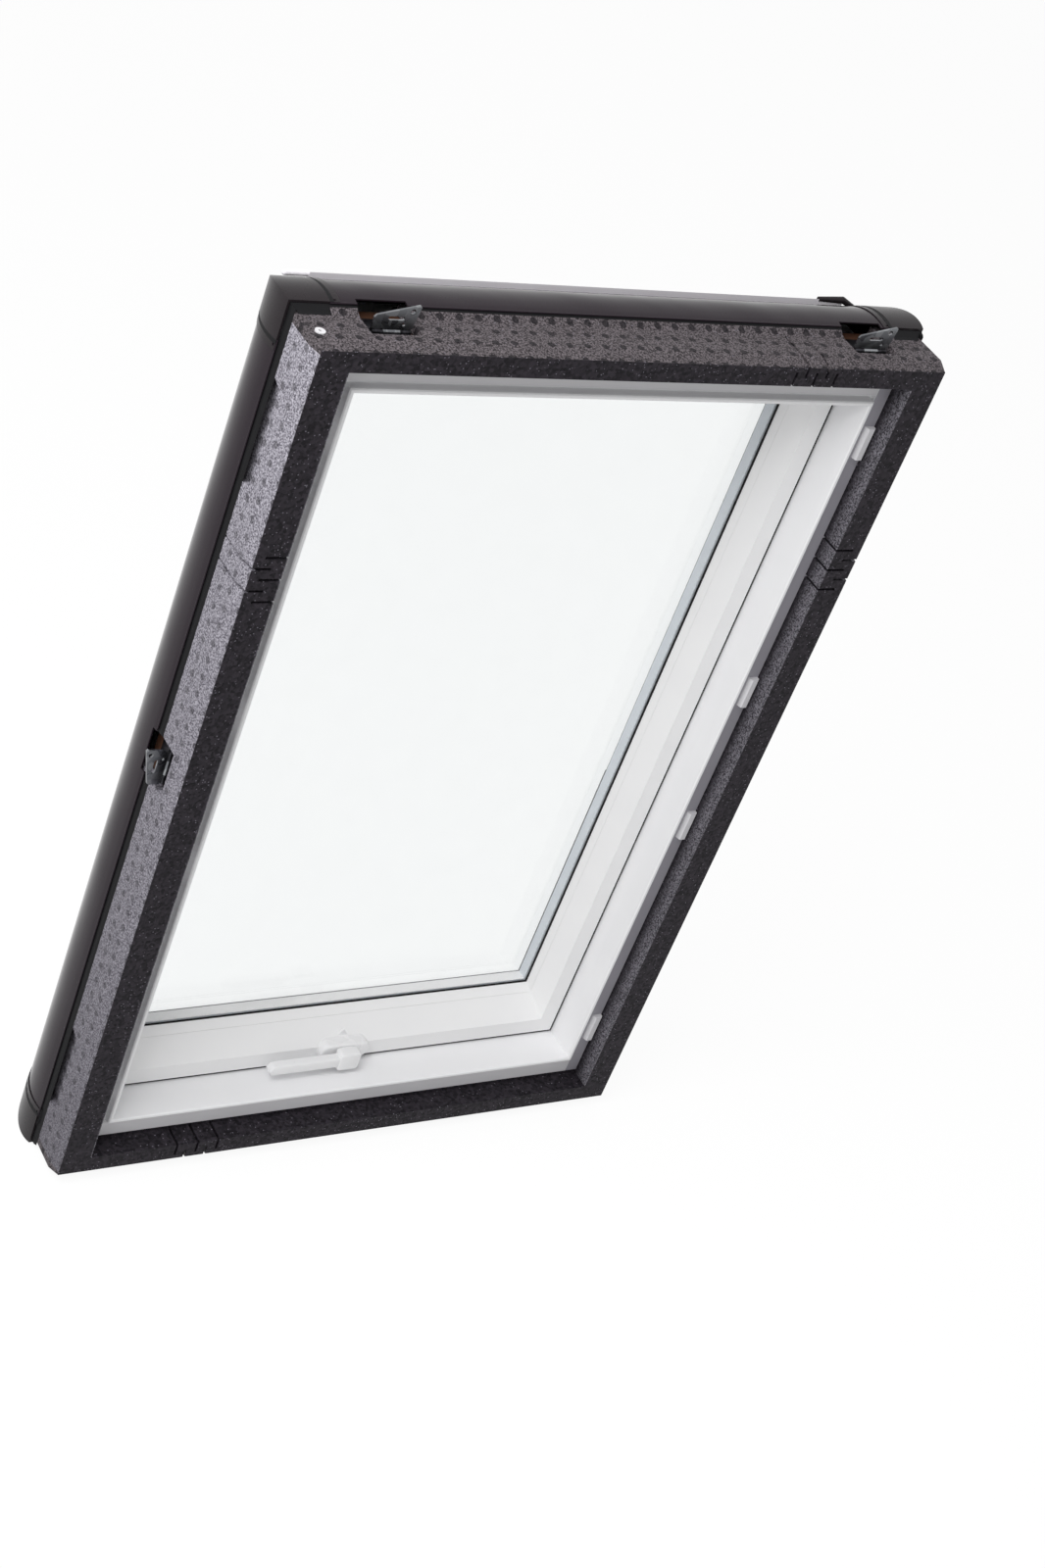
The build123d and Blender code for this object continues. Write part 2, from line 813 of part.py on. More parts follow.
def bracket_insert(side, place):
    deep = foam_depth - bracket_pocket_depth - fit_gap
    with BuildPart() as insert:
        with BuildSketch(face_plane(side, bracket_sink - foam_walls[side])):
            with Locations((face_sign(side) * place, bracket_pocket_depth + fit_gap + deep / 2)):
                Rectangle(bracket_pocket_width - 2 * fit_gap, deep)
        extrude(amount=foam_walls[side] - bracket_sink)
        step = foam_end_relief + fit_gap
        front = bracket_pocket_depth
        cut_box(side, place, -step, step, front, rebate_depth - front + fit_gap, bracket_pocket_width)
    return insert


def bracket_base(side, place):
    knuckle_shift = (tongue_length + knuckle_length) / 2 + knuckle_gap
    leaf_inset = bracket_sink - leaf_gauge - foam_walls[side]
    with BuildPart() as base:
        with BuildSketch(face_plane(side, leaf_inset)):
            with Locations((face_sign(side) * place, bracket_pocket_depth + leaf_gauge + leaf_depth / 2)):
                Rectangle(leaf_width, leaf_depth)
        extrude(amount=leaf_gauge)
        foot = bracket_sink - leaf_gauge - hinge_sink
        for shift in (-knuckle_shift, knuckle_shift):
            hinge_round(side, place, shift, knuckle_length, knuckle_radius)
            with BuildSketch(hinge_plane(side, place, shift)):
                with Locations((0, -foot / 2)):
                    Rectangle(2 * knuckle_radius, foot)
            extrude(amount=knuckle_length / 2, both=True)
        hinge_round(side, place, 0, tongue_length + 2 * (knuckle_length + knuckle_gap), hinge_pin_radius)
    return base


def bracket_plate(side, place):
    away = -inward[side]
    along = run_axis(side)
    axis = window_point(0, bracket_depth, 0) + away * (half_reach(side) + foam_walls[side] - hinge_sink)
    plane = Plane(origin=axis + along * place, x_dir=along, z_dir=along.cross(away))
    with BuildPart() as plate:
        with BuildSketch(plane) as blank:
            with BuildLine():
                Polyline(
                    (-plate_width / 2, plate_root),
                    (plate_width / 2, plate_root),
                    (plate_width / 2 + plate_lean, plate_tall),
                    (-plate_width / 2, plate_short),
                    close=True,
                )
            make_face()
            chamfer(blank.vertices().sort_by(Axis.Y)[-2:], plate_corner)
            with Locations((0, plate_root / 2)):
                Rectangle(tongue_length, plate_root)
            with Locations((slot_shift, slot_rise)):
                SlotOverall(slot_length, slot_width, mode=Mode.SUBTRACT)
            with Locations((screw_hole_shift, screw_hole_rise)):
                Circle(screw_hole_radius, mode=Mode.SUBTRACT)
            with Locations((pilot_hole_shift, pilot_hole_rise)):
                Circle(pilot_hole_radius, mode=Mode.SUBTRACT)
        extrude(amount=plate_gauge * plane.z_dir.dot(outward))
        hinge_round(side, place, 0, tongue_length, knuckle_radius)
        hinge_round(side, place, 0, 2 * tongue_length, hinge_pin_radius + running_fit, Mode.SUBTRACT)
    return plate


site_names = ("top_left", "top_right", "left", "right")
for name, (side, place) in zip(site_names, bracket_sites):
    pieces[f"bracket_plate_{name}"] = bracket_plate(side, place)

with BuildPart() as bracket_inserts:
    for side, place in bracket_sites:
        add(bracket_insert(side, place).part)
pieces["bracket_inserts"] = bracket_inserts

with BuildPart() as bracket_bases:
    for side, place in bracket_sites:
        add(bracket_base(side, place).part)
pieces["bracket_bases"] = bracket_bases


# Collar: a rounded sheet band on each side, moulded corner caps and perforated straps
def collar_points(lift):
    """Hem, shoulder and crown of a surface that lies outside the band by a lift."""
    return [
        (-collar_reach - lift, hem_depth),
        (-shoulder_reach - lift, shoulder_depth + lift),
        (-crown_reach, crown_depth + lift),
    ]


def draw_collar(plane, lift, inner_lift, land):
    """Rounded sheet section between two surfaces, with an optional flat land on the frame."""
    rim = collar_points(lift)
    under = collar_points(inner_lift)
    with BuildSketch(plane) as outline:
        with BuildLine():
            ThreePointArc(*rim)
            ThreePointArc(*under)
            Line(rim[0], under[0])
            if land:
                Polyline(rim[2], (land, crown_depth + lift), (land, crown_depth + inner_lift), under[2])
            else:
                Line(rim[2], under[2])
        make_face()
    return outline.sketch


def band_stop(side):
    """Half length of the band between its two corner caps."""
    return half_run(side) + collar_reach - cap_leg


def mitre_ends(side):
    """Cuts both ends of the active part to the mitres of its corners."""
    for end in (-1, 1):
        split(bisect_by=mitre_plane(side, end, 0, equal_widths), keep=Keep.BOTTOM)


def band_cuts(side):
    """Mitres of a band, and notches in its hem that clear the swing of the fold-out plates."""
    mitre_ends(side)
    notch = hinge_depth + plate_tall + overrun - hem_depth
    for site, place in bracket_sites:
        if site == side:
            cut_box(side, place, -2 * collar_reach, 2 * collar_reach, hem_depth, notch, bracket_pocket_width)


for side in inward:
    stop = band_stop(side)
    pieces[f"collar_band_{side}"] = run_bar(
        side, lambda plane: draw_collar(plane, 0, -sheet_gauge, collar_land), low=-stop, high=stop,
        cuts=lambda: band_cuts(side))

for end_side, run_side in corners:
    legs = []
    for side, other in ((end_side, run_side), (run_side, end_side)):
        stop = band_stop(side)
        toward_high = neighbours[side][1] == other
        legs.append(run_bar(
            side,
            lambda plane: draw_collar(plane, cap_lift, -sheet_gauge, collar_land),
            low=stop if toward_high else None,
            high=None if toward_high else -stop,
        ))
    with BuildPart() as cap:
        add(legs[0].part)
        add(legs[1].part)
    pieces[f"collar_cap_{end_side}_{run_side}"] = cap

with BuildPart() as straps:
    for side in inward:
        for end in (-1, 1):
            far = band_stop(side)
            low = min(end * far, end * (far - strap_width))
            strap = draw_collar(start_plane(side, 0, low, low + strap_width), strap_lift, 0, 0)
            extrude(strap, amount=strap_width)
            with BuildSketch(face_plane(side, -collar_reach - 2 * strap_lift)):
                start = hem_depth + strap_hole
                for step in range(strap_hole_count):
                    spot = face_sign(side) * (low + strap_width / 2)
                    with Locations((spot, start + step * strap_hole_pitch)):
                        Rectangle(strap_hole, strap_hole)
            extrude(amount=collar_reach - crown_reach, mode=Mode.SUBTRACT)
pieces["collar_straps"] = straps


def draw_skirt(plane, side):
    wall = foam_walls[side]
    return polygon(plane, [
        (-wall, skirt_depth),
        (-wall - skirt_proud, skirt_depth + skirt_rise),
        (-collar_reach + sheet_gauge + skirt_clear, hem_depth),
        (-wall, hem_depth),
    ])


with BuildPart() as skirt:
    for side in inward:
        add(run_bar(side, lambda plane: draw_skirt(plane, side)).part)
    for side, place in bracket_sites:
        tall = hem_depth - skirt_depth
        cut_box(side, place, -collar_reach, collar_reach, skirt_depth, tall, bracket_pocket_width)
pieces["collar_skirt"] = skirt


# Outer covers: a hood and two upper covers on the frame, the other covers on the sash
def draw_hood(plane):
    with BuildSketch(plane) as outline:
        with BuildLine():
            ThreePointArc(
                (-hood_front, crown_depth),
                ((hood_reach - hood_front) / 2, crown_depth + hood_crown),
                (hood_reach, crown_depth),
            )
            Line((-hood_front, crown_depth), (hood_reach, crown_depth))
        make_face()
    return outline.sketch


def draw_upper_cover(plane):
    return polygon(plane, [
        (-cover_front, crown_depth),
        (-cover_front + cover_slope, crown_depth + cover_gauge),
        (cover_reach - cover_slope, crown_depth + cover_gauge),
        (cover_reach, crown_depth),
    ])


def draw_lower_sash_cover(plane, width):
    return polygon(plane, [
        (-lower_overlap_share * width, back_depth + lower_cover_rise),
        (-lower_slope_share * width, back_depth + lower_cover_top),
        (lower_shoulder_share * width, back_depth + lower_cover_top),
        (lower_edge_share * width, back_depth + lower_cover_lip),
        (lower_edge_share * width, back_depth),
        (cover_edge_share * width, back_depth),
        (cover_edge_share * width, back_depth + lower_cover_rise),
    ])


def draw_upper_sash_cover(plane):
    return polygon(plane, [
        (cover_edge_share * stile_width, back_depth),
        (cover_edge_share * stile_width, back_depth + upper_cover_gauge),
        (upper_shoulder_share * stile_width, back_depth + upper_cover_gauge),
        (nose_share * stile_width, back_depth),
    ])


hood_half_length = half_width - hood_margin
pieces["hood"] = run_bar("top", draw_hood, low=-hood_half_length, high=hood_half_length)

with BuildPart() as upper_covers:
    for side in ("left", "right"):
        top_stop = half_height - hood_reach
        add(run_bar(side, draw_upper_cover, low=cover_start, high=top_stop).part)
pieces["upper_covers"] = upper_covers

with BuildPart() as pivot_caps:
    with BuildSketch(window_plane(crown_depth + cap_gauge)):
        middle = half_width - (cap_reach - cap_front) / 2
        for side in ("left", "right"):
            with Locations((inward[side].X * middle, (cap_high - cap_low) / 2)):
                Rectangle(cap_reach + cap_front, cap_high + cap_low)
    extrude(amount=cap_gauge)
    chamfer(pivot_caps.faces().group_by(Axis.Y)[-1].edges(), cap_bevel)
pieces["pivot_caps"] = pivot_caps

for side in ("left", "right", "bottom"):
    width = rail_widths[side]
    stop = None if side == "bottom" else -lower_cover_start
    pieces[f"sash_cover_lower_{side}"] = run_bar(
        side, lambda plane: draw_lower_sash_cover(plane, width), sash_inset, high=stop, widths=rail_widths)

with BuildPart() as sash_cover_upper:
    for side in ("left", "right", "top"):
        stop = None if side == "top" else fit_gap - lower_cover_start
        add(run_bar(side, draw_upper_sash_cover, sash_inset, low=stop).part)
pieces["sash_cover_upper"] = sash_cover_upper

os.makedirs("parts", exist_ok=True)
for name, piece in pieces.items():
    piece.part.label = name
    export_step(piece.part, f"parts/{name}.step")
print(len(pieces), "pieces")
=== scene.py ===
# %% [markdown]
# # A centre-pivot roof window in its insulating block
# The solids of this window come from a CAD source and are already packed in one frame, in metres. This
# lesson gives them real finishes, adds the small moulded and rubber pieces that a solid model leaves out,
# and lights the window on a pale floor. Loading the frame comes first, because each later piece sits on one
# of its bodies.

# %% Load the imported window
import json
import math

import bmesh
import bpy
from mathutils import Matrix, Vector


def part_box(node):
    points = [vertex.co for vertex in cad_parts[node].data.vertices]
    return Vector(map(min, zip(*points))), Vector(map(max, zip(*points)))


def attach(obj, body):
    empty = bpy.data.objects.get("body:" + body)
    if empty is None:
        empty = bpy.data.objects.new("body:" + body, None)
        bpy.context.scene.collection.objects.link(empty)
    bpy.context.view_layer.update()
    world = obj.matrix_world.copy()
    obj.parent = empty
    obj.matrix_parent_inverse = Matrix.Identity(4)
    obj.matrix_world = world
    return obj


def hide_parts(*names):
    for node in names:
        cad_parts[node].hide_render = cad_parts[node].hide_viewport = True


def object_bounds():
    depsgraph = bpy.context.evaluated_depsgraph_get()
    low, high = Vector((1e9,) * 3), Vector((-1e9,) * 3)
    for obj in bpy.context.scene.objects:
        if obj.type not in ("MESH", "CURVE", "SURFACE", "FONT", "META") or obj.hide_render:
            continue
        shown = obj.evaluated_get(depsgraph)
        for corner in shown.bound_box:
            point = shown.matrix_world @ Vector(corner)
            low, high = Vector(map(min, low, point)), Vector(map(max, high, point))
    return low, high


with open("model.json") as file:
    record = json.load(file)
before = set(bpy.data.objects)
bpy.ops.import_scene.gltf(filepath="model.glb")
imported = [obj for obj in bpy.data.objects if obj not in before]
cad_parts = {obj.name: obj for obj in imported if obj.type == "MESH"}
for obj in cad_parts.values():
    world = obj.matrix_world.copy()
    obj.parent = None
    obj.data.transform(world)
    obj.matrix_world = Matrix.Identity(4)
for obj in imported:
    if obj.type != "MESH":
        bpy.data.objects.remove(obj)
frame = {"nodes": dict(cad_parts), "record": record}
solid_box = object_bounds()
nodes = frame["nodes"]
print("nodes", len(nodes), "box", [tuple(round(c, 4) for c in corner) for corner in solid_box])

# %% [markdown]
# ## One way to write a finish
# Every finish is a node tree around Blender's Principled shader. The colours below are written as screen hex
# values, which the eye reads easily, so one function turns them into the linear light that a shader needs.
# One more function adds a node, sets its sockets and links them. Where a link names only a node, it takes
# that node's first output in use. The last function starts a finish with the values that are the same all
# over its surface, set on the shader itself.

# %% Helpers for finishes
MM = 0.001
finishes = {}


def light(code):
    values = [int(code[i:i + 2], 16) / 255 for i in (1, 3, 5)]
    return tuple(v / 12.92 if v < 0.04045 else ((v + 0.055) / 1.055) ** 2.4 for v in values) + (1.0,)


def link(tree, target, feed):
    for socket, source in dict(feed).items():
        outlets = source.outputs if isinstance(source, bpy.types.Node) else [source]
        tree.links.new(next(outlet for outlet in outlets if outlet.enabled), target.inputs[socket])


def add(tree, kind, feed=(), sockets=(), **settings):
    made = tree.nodes.new("ShaderNode" + kind)
    for name, value in settings.items():
        setattr(made, name, value)
    for socket, value in dict(sockets).items():
        made.inputs[socket].default_value = value
    link(tree, made, feed)
    return made


def start_finish(name, **sockets):
    material = bpy.data.materials.new(name)
    material.use_nodes = True
    tree = material.node_tree
    shader = tree.nodes["Principled BSDF"]
    for socket, value in sockets.items():
        shader.inputs[socket.replace("_", " ")].default_value = value
    place = add(tree, "TexCoord").outputs["Object"]
    return material, tree, shader, place


print("sample", [round(c, 3) for c in light("#808080")])

# %% [markdown]
# ## Graphite bead foam
# The block round the frame is expanded polystyrene with graphite in it, moulded from beads of about 4 mm. Up
# close the beads show as a mosaic of slightly different greys with darker seams. A noise could give the
# greys, but not the seams. A Voronoi texture is the natural model of packed beads: its cells give each bead a
# tone, and its distance to the cell edge gives the seams.

# %% Beads of the foam
BEAD = 4.0 * MM
foam, tree, shader, place = start_finish("graphite_bead_foam", Roughness=0.6, IOR=1.5,
                                         Specular_IOR_Level=0.12)
beads = add(tree, "TexVoronoi", feed={"Vector": place}, sockets={"Scale": 1 / BEAD})
seams = add(tree, "TexVoronoi", feed={"Vector": place}, sockets={"Scale": 1 / BEAD},
            feature="DISTANCE_TO_EDGE")
bead_tone = add(tree, "SeparateColor", feed={"Color": beads.outputs["Color"]})
bead_grey = add(tree, "Mix", feed={"Factor": bead_tone}, data_type="RGBA",
                sockets={"A": light("#161418"), "B": light("#343036")})
print("beads", BEAD, "m across")

# %% [markdown]
# The outer faces carry painted light. The long sides, the ends and the faces towards the opening are painted
# paler than the face towards the room, where the lamps fall on them, with painted glints of sheen. One noise
# makes the glints, and each face has its own pair of greys for it. Real bead walls are too thin to show in a
# render of the whole window, so the grain is drawn about 2 mm wide.

# %% Skin tones of the foam
GRAIN = 2.1 * MM
# Each pair is painted light: its pale grey is the sheen and light that the lamps leave on that face.
LIT_SKIN_PAIRS = {"side": ("#5A5760", "#BFBCC6"), "reveal": ("#2A282C", "#87848C"), "end": ("#211E20", "#746D71")}
grain = add(tree, "TexNoise", feed={"Vector": place}, sockets={"Scale": 1 / GRAIN, "Detail": 2})
painted_glints = add(tree, "MapRange", feed={"Value": grain}, sockets={"From Min": 0.36, "From Max": 0.66})
lit_skin_greys = {}
for face, (low, high) in LIT_SKIN_PAIRS.items():
    lit_skin_greys[face] = add(tree, "Mix", feed={"Factor": painted_glints}, data_type="RGBA",
                           sockets={"A": light(low), "B": light(high)})
print("skin tones", list(lit_skin_greys))

# %% [markdown]
# Masks choose between the tones. They could be painted on the mesh, but the block is plain enough to ask the
# object's own coordinates: how far a point is from the middle of the block, sideways and endways, and whether
# it lies behind the room face. The skin starts at the chamfer of the outer edges.

# %% Masks for the skin
BLOCK_MIDDLE = -46 * MM
OFF_FACE = -43.4 * MM
SIDE_SKIN, END_SKIN = 420 * MM, 615 * MM
SIDE_OPENING, END_OPENING = 386.2 * MM, 594 * MM
spot = add(tree, "SeparateXYZ", feed={"Vector": place})
side_way = add(tree, "Math", feed={0: spot.outputs["X"]}, operation="ABSOLUTE")
end_shift = add(tree, "Math", feed={0: spot.outputs["Z"]}, sockets={1: -BLOCK_MIDDLE}, operation="ADD")
end_way = add(tree, "Math", feed={0: end_shift}, operation="ABSOLUTE")
off_room = add(tree, "Math", feed={0: spot.outputs["Y"]}, sockets={1: OFF_FACE}, operation="GREATER_THAN")
far_side = add(tree, "Math", feed={0: side_way}, sockets={1: SIDE_SKIN}, operation="GREATER_THAN")
far_end = add(tree, "Math", feed={0: end_way}, sockets={1: END_SKIN}, operation="GREATER_THAN")
side_skin = add(tree, "Math", feed={0: far_side, 1: off_room}, operation="MULTIPLY")
end_skin = add(tree, "Math", feed={0: far_end, 1: off_room}, operation="MULTIPLY")
near_side = add(tree, "Math", feed={0: side_way}, sockets={1: SIDE_OPENING}, operation="LESS_THAN")
near_end = add(tree, "Math", feed={0: end_way}, sockets={1: END_OPENING}, operation="LESS_THAN")
on_reveal = add(tree, "Math", feed={0: near_side, 1: near_end}, operation="MULTIPLY")
print("masks from", SIDE_SKIN, "and", END_SKIN, "m off the middle")

# %% [markdown]
# The painted light of the long sides fades into painted shade towards the bottom. On the faces towards the
# opening the painted light fades into the plain beads deeper in, as painted shade. Mixing the tones one after
# the other, each by its mask, keeps every face's tone readable in the code.

# %% Foam tones by place
REVEAL_FADE = (-16 * MM, -34 * MM)
SHADE_FALL_TOP, SHADE_FALL_FOOT = 550 * MM, -650 * MM
SHADE_FALL_MOST = 0.62
# The faces towards the opening go from painted light to painted shade deeper in.
fade = add(tree, "MapRange", feed={"Value": spot.outputs["Y"]},
           sockets={"From Min": REVEAL_FADE[0], "From Max": REVEAL_FADE[1]})
lit_reveal = add(tree, "Math", feed={0: on_reveal, 1: fade}, operation="MULTIPLY")
# The long sides go from painted light to painted shade towards the bottom.
painted_shade_fall = add(tree, "MapRange", feed={"Value": spot.outputs["Z"]},
              sockets={"From Min": SHADE_FALL_TOP, "From Max": SHADE_FALL_FOOT, "To Max": SHADE_FALL_MOST})
shaded_side_skin = add(tree, "Mix", feed={"Factor": painted_shade_fall, "A": lit_skin_greys["side"]},
                sockets={"B": light("#403D43")}, data_type="RGBA")
foam_grey = bead_grey
for mask, tone in ((lit_reveal, lit_skin_greys["reveal"]), (side_skin, shaded_side_skin), (end_skin, lit_skin_greys["end"])):
    foam_grey = add(tree, "Mix", feed={"Factor": mask, "A": foam_grey, "B": tone}, data_type="RGBA")
print("foam", len(tree.nodes), "nodes so far")

# %% [markdown]
# A few beads without graphite stay as pale flecks. A second Voronoi texture has a random colour in each cell:
# one channel keeps only a few cells, and the distance from a cell's middle keeps each fleck small.

# %% Pale flecks
FLECK = 3.6 * MM
FLECK_RARITY, FLECK_REACH = 0.87, 0.24
cells = add(tree, "TexVoronoi", feed={"Vector": place}, sockets={"Scale": 1 / FLECK})
lot = add(tree, "SeparateColor", feed={"Color": cells.outputs["Color"]})
few = add(tree, "Math", feed={0: lot.outputs["Green"]}, sockets={1: FLECK_RARITY}, operation="GREATER_THAN")
small = add(tree, "Math", feed={0: cells}, sockets={1: FLECK_REACH}, operation="LESS_THAN")
flecks = add(tree, "Math", feed={0: few, 1: small}, operation="MULTIPLY")
flecked = add(tree, "Mix", feed={"Factor": flecks, "A": foam_grey}, sockets={"B": light("#726F78")},
              data_type="RGBA")
print("flecks in", round(100 * (1 - FLECK_RARITY)), "of 100 cells")

# %% [markdown]
# Moulding leaves dimples, where steam enters the mould. The room face has one row of short ones in the middle
# of each bar. They are far too many to cut into the mesh, so a stripe across the bar and a repeating gap
# along it are multiplied, and a third mask keeps them on the face itself.

# %% Dimples of the room face
ON_FACE = -43.6 * MM
DIMPLE_PITCH = 22.0 * MM
HALF_DIMPLE = (1.6 * MM, 4.5 * MM)
SIDE_ROW, END_ROW = 406 * MM, 607 * MM
rows = []
for way, row, along in ((side_way, SIDE_ROW, "Z"), (end_way, END_ROW, "X")):
    stripe = add(tree, "Math", feed={0: way}, sockets={1: row, 2: HALF_DIMPLE[0]}, operation="COMPARE")
    beat = add(tree, "Math", feed={0: spot.outputs[along]}, sockets={1: DIMPLE_PITCH}, operation="PINGPONG")
    dash = add(tree, "Math", feed={0: beat}, sockets={1: HALF_DIMPLE[1]}, operation="LESS_THAN")
    rows.append(add(tree, "Math", feed={0: stripe, 1: dash}, operation="MULTIPLY"))
either = add(tree, "Math", feed={0: rows[0], 1: rows[1]}, operation="MAXIMUM")
on_room = add(tree, "Math", feed={0: spot.outputs["Y"]}, sockets={1: ON_FACE}, operation="LESS_THAN")
room_dimples = add(tree, "Math", feed={0: either, 1: on_room}, operation="MULTIPLY")
print("rows", len(rows))

# %% [markdown]
# The outer faces have staggered rows of oval dimples. A zigzag along the bar and one across its depth count
# from one dimple to the next, and the second set starts half a pitch later. The sum of their squares is less
# than one inside an oval.

# %% Oval dimples of the outer faces
HALF_PITCH = (12 * MM, 22 * MM)
HALF_OVAL = (4.6 * MM, 4.2 * MM)
SIDE_OVAL_SHARE = 0.6


def oval_rows(along, mask):
    sets = []
    for start in (0, 1):
        parts = []
        for way, pitch, half in zip((along, spot.outputs["Y"]), HALF_PITCH, HALF_OVAL):
            moved = add(tree, "Math", feed={0: way}, sockets={1: start * pitch}, operation="ADD")
            zigzag = add(tree, "Math", feed={0: moved}, sockets={1: pitch}, operation="PINGPONG")
            share = add(tree, "Math", feed={0: zigzag}, sockets={1: half}, operation="DIVIDE")
            parts.append(add(tree, "Math", feed={0: share}, sockets={1: 2.0}, operation="POWER"))
        ring = add(tree, "Math", feed={0: parts[0], 1: parts[1]}, operation="ADD")
        sets.append(add(tree, "Math", feed={0: ring}, sockets={1: 1.0}, operation="LESS_THAN"))
    ovals = add(tree, "Math", feed={0: sets[0], 1: sets[1]}, operation="MAXIMUM")
    return add(tree, "Math", feed={0: ovals, 1: mask}, operation="MULTIPLY")


side_ovals = oval_rows(spot.outputs["Z"], side_skin)
end_ovals = oval_rows(spot.outputs["X"], end_skin)
faint_ovals = add(tree, "Math", feed={0: side_ovals}, sockets={1: SIDE_OVAL_SHARE}, operation="MULTIPLY")
outer_dimples = add(tree, "Math", feed={0: faint_ovals, 1: end_ovals}, operation="MAXIMUM")
print("foam", len(tree.nodes), "nodes so far")

# %% [markdown]
# Dimples lie a little deeper and are painted darker than the skin, as painted shade in their hollows, so one
# mask feeds both the colour and the bump.
# The seams between beads join them in the bump.

# %% Foam colour and relief
DIMPLE_SHADE = 0.8
SEAM_REACH = 0.12
dimples = add(tree, "Math", feed={0: room_dimples, 1: outer_dimples}, operation="MAXIMUM")
# Painted shade in the dimples.
shade = add(tree, "Math", feed={0: dimples}, sockets={1: DIMPLE_SHADE}, operation="MULTIPLY")
dimpled = add(tree, "Mix", feed={"Factor": shade, "A": flecked}, sockets={"B": light("#161418")},
              data_type="RGBA")
seam_depth = add(tree, "MapRange", feed={"Value": seams}, sockets={"From Max": SEAM_REACH})
hollow = add(tree, "Math", feed={0: seam_depth, 1: dimples}, operation="SUBTRACT")
relief = add(tree, "Bump", feed={"Height": hollow}, sockets={"Strength": 0.35, "Distance": 0.5 * MM})
link(tree, shader, {"Base Color": dimpled, "Normal": relief})
finishes["foam"] = foam
print("foam", len(tree.nodes), "nodes")

# %% [markdown]
# ## White extruded uPVC
# Frame and sash bars are hollow uPVC profiles, sawn at 45 degrees and welded. The die leaves a satin surface,
# with faint streaks and a slight wave that only show in the gloss. A large soft noise moves the roughness and
# a fine one gives the bump, so the white stays white. The real grain is finer than a pixel, so it is drawn
# a little over a millimetre wide.

# %% uPVC finish
SATIN_WAVE = 60 * MM
SATIN_GRAIN = 1.2 * MM


def white_profile(name, low, high, rough_low, rough_high, grain=SATIN_GRAIN):
    material, tree, shader, place = start_finish(name, IOR=1.53)
    wave = add(tree, "TexNoise", feed={"Vector": place}, sockets={"Scale": 1 / SATIN_WAVE, "Detail": 3})
    white = add(tree, "Mix", feed={"Factor": wave}, data_type="RGBA",
                sockets={"A": light(low), "B": light(high)})
    gloss = add(tree, "MapRange", feed={"Value": wave},
                sockets={"From Min": 0.3, "From Max": 0.7, "To Min": rough_low, "To Max": rough_high})
    pits = add(tree, "TexNoise", feed={"Vector": place}, sockets={"Scale": 1 / grain, "Detail": 2})
    skin = add(tree, "Bump", feed={"Height": pits}, sockets={"Strength": 0.08, "Distance": 0.1 * MM})
    link(tree, shader, {"Base Color": white, "Roughness": gloss, "Normal": skin})
    return material, tree, shader, white


finishes["white_frame"] = white_profile("white_upvc_frame", "#F0F0F2", "#F5F5F6", 0.34, 0.44)[0]
finishes["white_sash"] = white_profile("white_upvc_sash", "#F3F3F4", "#F8F8F8", 0.30, 0.40)[0]
print("white profiles", finishes["white_frame"].name, finishes["white_sash"].name)

# %% [markdown]
# ## Powder coat and clip plastic
# The handle is a zinc casting with a white powder coat. The powder melts into a skin with an orange-peel wave
# of about 2 mm, so the bump is a noise at that size. The lining clips are moulded polypropylene: a little
# greyer, a little softer in their gloss, with a fine moulded grain. Both are the recipe of the profiles with
# other values.

# %% Coated and moulded whites
PEEL = 2 * MM
finishes["handle_white"] = white_profile("white_powder_coat", "#F0F0F1", "#F6F6F7", 0.26, 0.34, PEEL)[0]
finishes["clip_plastic"] = white_profile("moulded_polypropylene", "#D9D8DB", "#E2E1E4", 0.40, 0.52)[0]
print("coated", finishes["handle_white"].name, finishes["clip_plastic"].name)

# %% [markdown]
# ## Coated aluminium cladding
# The collar and the outer covers are thin aluminium sheet, coil-coated in a dark brown-grey and roll-formed.
# Thin sheet is never quite flat: long shallow waves bend its reflections. Modelling them would need a dense
# mesh, so a noise about 90 mm long drives the bump. A second one, much finer, gives the coating's sparkle of
# gloss, drawn coarser than its real pigment so that it shows.

# %% Cladding finish
OIL_CAN = 90 * MM
PIGMENT = 1.5 * MM


def clad_sheet(name):
    material, tree, shader, place = start_finish(name, IOR=1.5, Specular_IOR_Level=0.13,
                                                 Specular_Tint=light("#E0D8E2"))
    stretch = add(tree, "Mapping", feed={"Vector": place}, sockets={"Scale": (1.0, 1.0, 0.6)})
    waves = add(tree, "TexNoise", feed={"Vector": stretch}, sockets={"Scale": 1 / OIL_CAN, "Detail": 1.5})
    film = add(tree, "TexNoise", feed={"Vector": place}, sockets={"Scale": 1 / PIGMENT, "Detail": 2})
    brown = add(tree, "Mix", feed={"Factor": film}, data_type="RGBA",
                sockets={"A": light("#211B20"), "B": light("#2E272D")})
    gloss = add(tree, "MapRange", feed={"Value": film}, sockets={"To Min": 0.09, "To Max": 0.14})
    ripple = add(tree, "Bump", feed={"Height": waves}, sockets={"Strength": 0.5, "Distance": 4 * MM})
    link(tree, shader, {"Base Color": brown, "Roughness": gloss, "Normal": ripple})
    return material, tree, shader, brown


finishes["cladding"] = clad_sheet("coil_coated_aluminium")[0]
print("cladding", len(finishes["cladding"].node_tree.nodes), "nodes")
